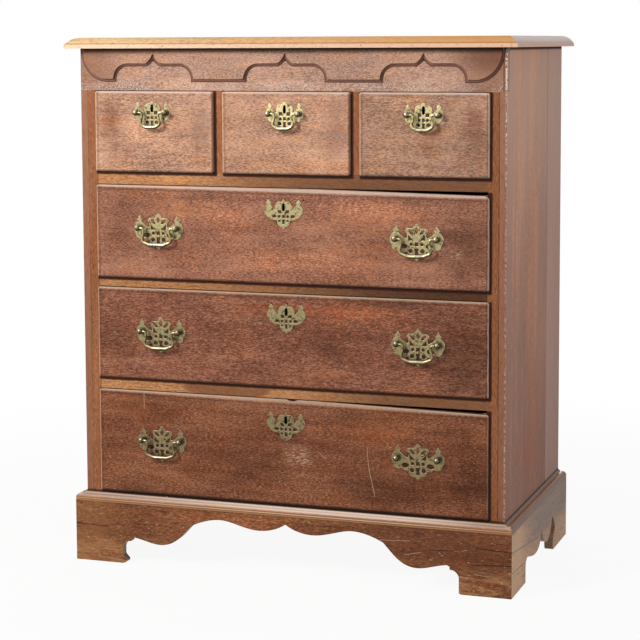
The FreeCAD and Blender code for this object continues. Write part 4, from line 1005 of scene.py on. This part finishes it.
def moulding_layers(finish, wood, low, high):
    """A painted highlight on the crest over a brown lower part, and painted shadow with dirt on the
    top where the drawers and the case stand over it.
    """
    s = finish.s
    end = finish.facing(RIGHT, 0.3, 0.7)
    forward = s.math("SUBTRACT", 1.0, end)
    up = finish.facing(UP, 0.6, 0.9)
    inner = finish.y(FRONT - 0.0040, FRONT - 0.0022)
    outer = finish.y(FRONT - 0.0022, FRONT - 0.0040)
    crest = finish.z(high.z - 0.0086, high.z - 0.0062)
    # how strong the painted highlights are along the front
    middle = finish.both(finish.x(-0.48, 0.05), finish.x(0.46, 0.24))
    bright = s.math("MULTIPLY_ADD", middle, 0.6, 0.40)
    finish.layers(
        (finish.z(high.z - 0.0086, high.z - 0.0104), (0.70, 0.50, 0.33), 0.8),
        (end, (0.40, 0.31, 0.27), 0.82),
        # painted shadow with dirt on the top, behind the crest and beside the case
        (finish.both(up, inner, finish.y(FRONT + 0.01, FRONT)), wood.grime_and_shade, 0.9),
        (finish.both(up, finish.aside(CASE_HIGH.x + 0.005, CASE_HIGH.x + 0.002)), wood.grime_and_shade, 0.75),
        # painted highlight on the crest, strongest in the middle of the front
        (finish.both(crest, outer, bright, forward), (0.95, 0.85, 0.78)),
        (finish.band(Z, high.z - 0.0106, 0.0016), wood.grime_and_shade, 0.45),
        # painted highlight as a pale line low on the front
        (finish.both(forward, bright, finish.band(Z, low.z + 0.0052, 0.0018)), wood.worn_and_highlight, 0.8),
        (finish.z(low.z + 0.0022, low.z + 0.0008), wood.grime_and_shade, 0.2))


def bracket_layers(finish, wood, name, high):
    """Paler feet, streaks along the grain, and what only the front or the sides have."""
    s = finish.s
    coarse = finish.noise(16.0, 5.0, 0.7, 0.4, stretch=(1, 1, 5))
    fine = finish.noise(60.0, 3.0, 0.6, stretch=(1, 1, 7))
    finish.layers(
        (finish.both(finish.z(0.075, 0.02), s.step(coarse, 0.44, 0.54)), (0.78, 0.58, 0.40), 0.55),
        (finish.x(-0.33, -0.45), (0.62, 0.42, 0.26), 0.45),
        (s.step(coarse, 0.54, 0.66), wood.grime_and_shade, 0.5),
        (s.step(fine, 0.56, 0.66), tint(wood.grime_and_shade, 2.0), 0.3),
        (s.step(fine, 0.42, 0.32), (0.72, 0.50, 0.33), 0.3))
    finish.shade(finish.spot((-0.09, FRONT - 0.018, 0.112), (0.20, 1.0, 0.034), 0.9, 0.3), 1.2)
    if name == "side_brackets":
        finish.layers(
            (finish.y(FRONT + 0.12, FRONT + 0.03), (0.86, 0.69, 0.50), 0.4),
            (finish.both(finish.y(-0.19, 0.0), finish.z(0.035, 0.085)), (0.29, 0.24, 0.23), 0.62))
        for start, end in (((-18, 91), (219, 64)), ((-18, 50), (92, 43))):
            split = finish.stroke(mm(BASE_SIDE, *start), mm(BASE_SIDE, *end), 0.0014, 0.25,
                                  Plane=(0, 1, 1))
            finish.lay(finish.both(split, finish.x(0.0, 0.01)), wood.grime_and_shade, 0.85)
    else:
        finish.lay(finish.both(finish.x(0.1, 0.35), finish.z(0.01, 0.09)), (0.40, 0.22, 0.15), 0.4)
    # painted shade with dirt along the top, under the moulding
    finish.lay(finish.z(high.z - 0.003, high.z - 0.0005), wood.grime_and_shade, 0.25)


CRACKS = (((388, 62), (468, 66)), ((-468, 78), (-398, 76)), ((396, 96), (468, 92)),
          ((300, 84), (350, 86)))
KNOCKS = (((250, 70), (285, 78)), ((345, 40), (380, 34)), ((200, 96), (262, 99)),
          ((-200, 88), (-160, 96)), ((392, 44), (440, 38)))


class CHEST_OT_base(ChestOperator):
    """Finish the moulding and the bracket base"""

    bl_idname = "chest.base"
    bl_label = "Base"

    def execute(self, context):
        wood = self.wood
        side = between(wood.base, (0.86, 0.70, 0.52), 0.5)
        for name, grain, middle, seed, rubbed in (
                ("base_moulding", "x", wood.moulding, 61.0, 0.12),
                ("bracket_front", "x", wood.base, 64.0, 0.35),
                ("side_brackets", "y", side, 67.0, 0.35)):
            low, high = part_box(name)
            smooth = name == "base_moulding"
            finish = oak("oak_" + name, grain, middle, seed, contrast=0.6 if smooth else 0.95,
                         flecks=0.2 if smooth else 0.5, squeeze=0.6)
            if smooth:
                moulding_layers(finish, wood, low, high)
            else:
                bracket_layers(finish, wood, name, high)
            turn = finish.turned(0.05, 0.6, 0.6, BACKWARD if grain == "x" else RIGHT)
            finish.layers((finish.specks((1, 1, 2.0), 95.0, 0.2), wood.worn_and_highlight, 0.4),
                          (turn, tint(wood.worn_and_highlight, 0.86), rubbed))
            if name == "bracket_front":
                for marks, width, broken, paint, strength in (
                        (CRACKS, 0.0013, 0.35, wood.grime_and_shade, 0.85),
                        (KNOCKS, 0.0012, 0.5, wood.worn_and_highlight, 0.35)):
                    for mark in marks:
                        finish.lay(finish.mark(BASE_FACE, *mark, width, broken), paint, strength)
            put_on(finish.done(0.5), name)
        return {"FINISHED"}


def part_boards(finish, wood):
    """Each back board its own shade, with a dark joint between neighbours."""
    low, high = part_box("back_boards")
    pitch = (high.x - low.x) / BACK_BOARDS
    for index, factor in enumerate((1.05, 0.86, 1.1, 0.94)):
        left = low.x + index * pitch
        inside = finish.band(X, left + pitch / 2, pitch / 2)
        finish.shade(finish.s.step(inside, 0.0, 0.004), factor)
        if index:
            finish.lay(finish.band(X, left, 0.0024), wood.grime_and_shade, 0.85)


def old_iron(name):
    """Dark iron with rust."""
    finish = Finish(name, 0.7, metallic=0.25)
    finish.height = finish.noise(160.0, 4.0, 0.6)
    finish.colour = finish.s.mix(finish.s.step(finish.height, 0.35, 0.7),
                                 linear((0.20, 0.18, 0.17)), linear((0.40, 0.27, 0.18)))
    return finish.done(0.3)


class CHEST_OT_inside(ChestOperator):
    """Finish the unpolished wood and the locks"""

    bl_idname = "chest.inside"
    bl_label = "Inside"

    def execute(self, context):
        wood = self.wood
        for name, grain, shade, seed, nodes in (
                ("boxes", "y", 1.0, 71.0, [d + "_box" for d in DRAWERS]),
                ("runners", "y", 0.9, 74.0, ["drawer_runners", "bottom_board"]),
                ("back", "z", 0.8, 77.0, ["back_boards"]),
                ("blocks", "z", 0.72, 79.0, ["foot_blocks", "back_brackets"])):
            finish = oak("inner_" + name, grain, tint(wood.inner, shade), seed, flecks=0.6,
                         roughness=0.7, gloss=0.15, squeeze=0.4)
            finish.lay(finish.turned(0.5, 1.0, 0.8, UP), tint(wood.inner, 0.6), 0.25)
            if name == "back":
                part_boards(finish, wood)
            put_on(finish.done(0.5), *nodes)
        put_on(old_iron("lock_iron"), *[d + part for d in DRAWERS for part in ("_lock", "_bolt")])
        return {"FINISHED"}


NAIL_SEED = 7
NAIL_SIDES = 7
NAIL_STRAY = (0.004, 0.003, 0.0)        # how far a nail may be off its place
NAIL_TWIST = (0.08, 0.08, 6.28)         # how far it may lean and turn, in radians


def nail_tree(material):
    """The node tree that sets nails in rows; returns it and its input identifiers."""
    tree = bpy.data.node_groups.new("nails_in_rows", "GeometryNodeTree")
    kinds = {"Width": "Float", "Height": "Float", "Across": "Int", "Rows": "Int",
             "Head Radius": "Float", "Head Height": "Float", "Centre": "Vector", "Seed": "Int"}
    inputs = {name: tree.interface.new_socket(name, in_out="INPUT",
                                              socket_type="NodeSocket" + kind).identifier
              for name, kind in kinds.items()}
    tree.interface.new_socket("Geometry", in_out="OUTPUT", socket_type="NodeSocketGeometry")
    s = Shader(tree)
    take = s.nodes.new("NodeGroupInput").outputs
    grid = s.add("GeometryNodeMeshGrid", {
        "Size X": take["Width"], "Size Y": take["Height"], "Vertices X": take["Across"],
        "Vertices Y": take["Rows"]})
    stray, twist = (
        s.add("FunctionNodeRandomValue", {0: least, 1: most, 8: take["Seed"]},
              data_type="FLOAT_VECTOR").outputs[0]
        for least, most in (([-reach for reach in NAIL_STRAY], NAIL_STRAY), (ORIGIN, NAIL_TWIST)))
    points = s.add("GeometryNodeSetPosition", {"Geometry": grid.outputs["Mesh"], "Offset": stray})
    head = s.add("GeometryNodeMeshCone", {
        "Vertices": NAIL_SIDES, "Radius Top": s.math("MULTIPLY", take["Head Radius"], 0.4),
        "Radius Bottom": take["Head Radius"], "Depth": take["Head Height"]})
    nailed = s.add("GeometryNodeInstanceOnPoints", {
        "Points": points.outputs[0], "Instance": head.outputs["Mesh"], "Rotation": twist})
    upright = s.add("GeometryNodeTransform", {
        "Geometry": nailed.outputs[0], "Translation": take["Centre"],
        "Rotation": (-math.pi / 2, 0.0, 0.0)})
    real = s.add("GeometryNodeRealizeInstances", (upright.outputs[0],))
    painted = s.add("GeometryNodeSetMaterial", {"Geometry": real.outputs[0], "Material": material})
    s.add("NodeGroupOutput", (painted.outputs[0],))
    return tree, inputs


class CHEST_OT_nails(ChestOperator):
    """Drive the hammered nails that hold the back boards"""

    bl_idname = "chest.nails"
    bl_label = "Back nails"

    def execute(self, context):
        low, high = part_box("back_boards")
        nails = context.scene.chest_nails
        iron = old_iron("nail_iron")
        holder = placed("back_nails", bpy.data.meshes.new("nail_points"))
        modifier = holder.modifiers.new("nails", "NODES")
        modifier.node_group, inputs = nail_tree(iron)
        values = {"Width": (high.x - low.x) * (1 - 1 / nails.across),
                  "Height": high.z - low.z - 2 * nails.end_distance,
                  "Across": nails.across, "Rows": nails.rows,
                  "Head Radius": nails.head_radius, "Head Height": nails.head_height,
                  "Centre": ((low.x + high.x) / 2, high.y, (low.z + high.z) / 2), "Seed": NAIL_SEED}
        for name, value in values.items():
            modifier[inputs[name]] = value
        new_piece("back_nails", plain_mesh(holder, "back_nails"), "carcase", iron)
        return {"FINISHED"}


BRASS_BUMP = 0.0003                     # how far the brass is pitted
# how light and how warm the brass of each drawer is; the light level is painted light, darker on
# the lower drawers as painted shade
BRASS_LIGHT_AND_WARMTH = {"short_left": (1.12, 0.0), "short_middle": (1.32, 0.0), "short_right": (1.24, 0.0),
                "long_high": (1.08, 0.0), "long_middle": (0.94, 0.12), "long_low": (0.86, 0.3)}


def brass(metal, drawer, kind):
    """Old brass, lighter or darker for its drawer as painted light, and the colour of its rubbed
    places and painted highlights.
    """
    finish = Finish("brass_" + drawer + kind, 0.4, metallic=0.85)
    level, warm = BRASS_LIGHT_AND_WARMTH[drawer]
    s = finish.s
    mottle = finish.noise(170.0, 4.0, 0.62, 0.4)
    fine = finish.noise(900.0, 3.0, 0.6)
    face = tint(between(metal.face, (0.62, 0.50, 0.33), warm), level)
    finish.colour = s.mix(s.step(mottle, 0.46, 0.70), linear(face), linear(metal.tarnish_and_shade))
    finish.height = s.math("ADD", s.math("MULTIPLY", mottle, 0.8), s.math("MULTIPLY", fine, 0.3))
    finish.rough = s.math("MULTIPLY_ADD", mottle, 0.35, 0.2)
    return finish, tint(metal.rubbed, level)


class CHEST_OT_plates(ChestOperator):
    """Build the pierced plates again with filed edges"""

    bl_idname = "chest.plates"
    bl_label = "Pierced plates"

    def execute(self, context):
        metal = self.metal
        for drawer in DRAWERS:
            node = drawer + "_plates"
            low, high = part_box(node)
            finish, bright = brass(metal, drawer, "_plates")
            # rubbed edges with a painted highlight
            rubbed = finish.both(finish.turned(0.05, 0.3, 0.2), finish.facing(FORWARD, 0.2, 0.5))
            finish.layers((rubbed, bright, 0.85),
                          (finish.facing(FORWARD, 0.4, 0.1), metal.tarnish_and_shade, 0.85))
            for x, z in hole_places(drawer, *BORE):
                ring = finish.spot((x, 0, z), POST_RING, 0.6, 0.4)
                finish.lay(ring, metal.tarnish_and_shade, 0.7)
            for x, z in hole_places(drawer, *KEYHOLE):
                # painted shade on the keyhole's rim
                rim = finish.spot((x, 0, z), KEY_RIM, 0.2, 0.1)
                finish.lay(rim, (0.07, 0.05, 0.04), 0.9)
            mesh = cut_board(node, drawer + "_plates_filed", metal.bevel, 0.0, low.y, high.y)
            new_piece(mesh.name, mesh, drawer + "_drawer", finish.done(0.35, BRASS_BUMP),
                      (node,))
        return {"FINISHED"}


class CHEST_OT_handles(ChestOperator):
    """Finish the posts and the bails"""

    bl_idname = "chest.handles"
    bl_label = "Posts and bails"

    def execute(self, context):
        metal = self.metal
        for drawer, kind in [(d, k) for d in DRAWERS for k in ("_posts", "_bail")]:
            finish, bright = brass(metal, drawer, kind)
            if kind == "_posts":
                finish.lay(finish.facing(FORWARD, 1.1, 0.9), metal.tarnish_and_shade, 0.5)
            finish.layers(
                # painted dark reflection on the sides that turn away from the front
                (finish.facing(FORWARD, 0.85, 0.35), metal.tarnish_and_shade, 0.8),
                # painted shade where they face down and back
                (finish.facing((0.3, 0.25, -0.9), -0.4, 0.3), metal.tarnish_and_shade, 0.9),
                # painted highlight where they face up and forward
                (finish.facing((-0.2, -0.5, 0.84), 0.72, 0.95), bright, 0.85))
            put_on(finish.done(0.3, BRASS_BUMP), *[n for n in NODES if n.startswith(drawer + kind)])
        return {"FINISHED"}


FLOOR_REACH = 9
CAMERA_PLACE = (1.2920, FRONT - 3.5284, 1.0817)
CAMERA_TURN = (19.0946, -5.6812, -0.2408)   # yaw, pitch and roll in degrees
CAMERA_LENS, CAMERA_SENSOR = 106.14, 36.0   # millimetres
CAMERA_SHIFT = -90.0 / 640.0                # share of the sensor's width
SEEN_RAYS = ("Is Camera Ray", "Is Glossy Ray", "Is Transmission Ray")


def seen(s):
    """1 for rays that reach the eye directly, in a mirror or through glass, and 0 for others."""
    rays = s.nodes.new("ShaderNodeLightPath")
    camera, glossy, passed = (rays.outputs[name] for name in SEEN_RAYS)
    return s.math("MAXIMUM", s.math("MAXIMUM", camera, glossy), passed)


class CHEST_OT_stage(ChestOperator):
    """Place the floor, the lamps and the camera"""

    bl_idname = "chest.stage"
    bl_label = "Stage"

    def execute(self, context):
        settings = context.scene.chest_stage
        self.make_floor(settings)
        self.make_sky(settings)
        for name, place, target, size, watts in (
                ("key_lamp", (-1.9, -2.8, 2.4), (0.0, -0.2, 0.7), 1.1, settings.key_power),
                ("fill_lamp", (3.0, -0.5, 1.5), (0.3, 0.0, 0.6), 1.4, settings.fill_power),
                ("back_lamp", (-0.9, 3.6, 1.0), (0.0, 0.26, 0.6), 1.2, settings.back_power)):
            self.make_lamp(name, Vector(place), Vector(target), size, watts)
        self.make_camera()
        context.scene.view_settings.view_transform = "Standard"
        return {"FINISHED"}

    def make_floor(self, settings):
        """A pale floor that looks white, and whiter far from the chest."""
        mesh = bpy.data.meshes.new("floor")
        signs = ((-1, -1), (1, -1), (1, 1), (-1, 1))
        mesh.from_pydata([(x * FLOOR_REACH, y * FLOOR_REACH, 0) for x, y in signs], [],
                         [range(4)])
        material = bpy.data.materials.new("floor_paper")
        material.use_nodes = True
        s = Shader(material.node_tree)
        plain = s.nodes["Principled BSDF"]
        plain.inputs["Base Color"].default_value = linear(settings.floor)
        plain.inputs["Roughness"].default_value = 0.9
        plain.inputs["Specular IOR Level"].default_value = 0.1
        white = s.add("ShaderNodeEmission", {"Color": WHITE, "Strength": 1.0})
        place = s.nodes.new("ShaderNodeTexCoord").outputs["Object"]
        far = s.step(s.vector("LENGTH", place), 0.6, 2.2)
        share = s.math("MULTIPLY", seen(s), s.math("MULTIPLY_ADD", far, 0.08, 0.92))
        blend = s.add("ShaderNodeMixShader", (share, plain.outputs[0], white.outputs[0]))
        s.feed(s.nodes["Material Output"].inputs["Surface"], blend.outputs[0])
        mesh.materials.append(material)
        placed("floor", mesh)

    def make_sky(self, settings):
        """Even surroundings, white to the eye and dim as a light."""
        world = bpy.data.worlds.new("studio")
        world.use_nodes = True
        bpy.context.scene.world = world
        s = Shader(world.node_tree)
        level = s.math("MULTIPLY_ADD", seen(s), 1.0 - settings.sky, settings.sky)
        sky = s.nodes["Background"]
        sky.inputs["Color"].default_value = WHITE
        s.feed(sky.inputs["Strength"], level)

    def make_lamp(self, name, place, target, size, watts):
        data = bpy.data.lights.new(name, "AREA")
        data.shape = "DISK"
        data.size = size
        data.energy = watts
        lamp = placed(name, data)
        lamp.location = place
        lamp.rotation_euler = (target - place).to_track_quat("-Z", "Y").to_euler()

    def make_camera(self):
        data = bpy.data.cameras.new("camera")
        data.sensor_width = CAMERA_SENSOR
        data.lens = CAMERA_LENS
        data.shift_y = CAMERA_SHIFT
        camera = placed("camera", data)
        yaw, pitch, roll = (math.radians(angle) for angle in CAMERA_TURN)
        turn = Matrix.Rotation(yaw, 4, "Z") @ Matrix.Rotation(math.pi / 2 + pitch, 4, "X")
        turn = turn @ Matrix.Rotation(roll, 4, "Z")
        camera.matrix_world = Matrix.Translation(CAMERA_PLACE) @ turn
        bpy.context.scene.camera = camera


class CHEST_PT_panel(bpy.types.Panel):
    """The chest's operators in the sidebar"""

    bl_idname = "CHEST_PT_panel"
    bl_label = "Chest"
    bl_space_type = "VIEW_3D"
    bl_region_type = "UI"
    bl_category = "Chest"

    def draw(self, context):
        for operator in OPERATORS:
            self.layout.operator(operator.bl_idname)
        for group in SETTINGS:
            settings = getattr(context.scene, group)
            for name in settings.bl_rna.properties.keys():
                if name not in ("rna_type", "name"):
                    self.layout.prop(settings, name)


OPERATORS = (CHEST_OT_stage, CHEST_OT_drawer_fronts, CHEST_OT_case, CHEST_OT_base,
             CHEST_OT_inside, CHEST_OT_nails, CHEST_OT_plates, CHEST_OT_handles)
CLASSES = (*SETTINGS.values(), *OPERATORS, CHEST_PT_panel)


def register():
    """Register the classes and hang the settings on the scene."""
    for cls in CLASSES:
        bpy.utils.register_class(cls)
    for name, cls in SETTINGS.items():
        setattr(bpy.types.Scene, name, PointerProperty(type=cls))


def unregister():
    """Take everything off again."""
    for name in SETTINGS:
        delattr(bpy.types.Scene, name)
    for cls in reversed(CLASSES):
        bpy.utils.unregister_class(cls)


def main():
    """Build the whole scene in order."""
    register()
    build_groups()
    bpy.ops.chest.stage()
    bpy.ops.chest.drawer_fronts()
    bpy.ops.chest.case()
    bpy.ops.chest.base()
    bpy.ops.chest.inside()
    bpy.ops.chest.nails()
    bpy.ops.chest.plates()
    bpy.ops.chest.handles()


if __name__ == "__main__":
    main()
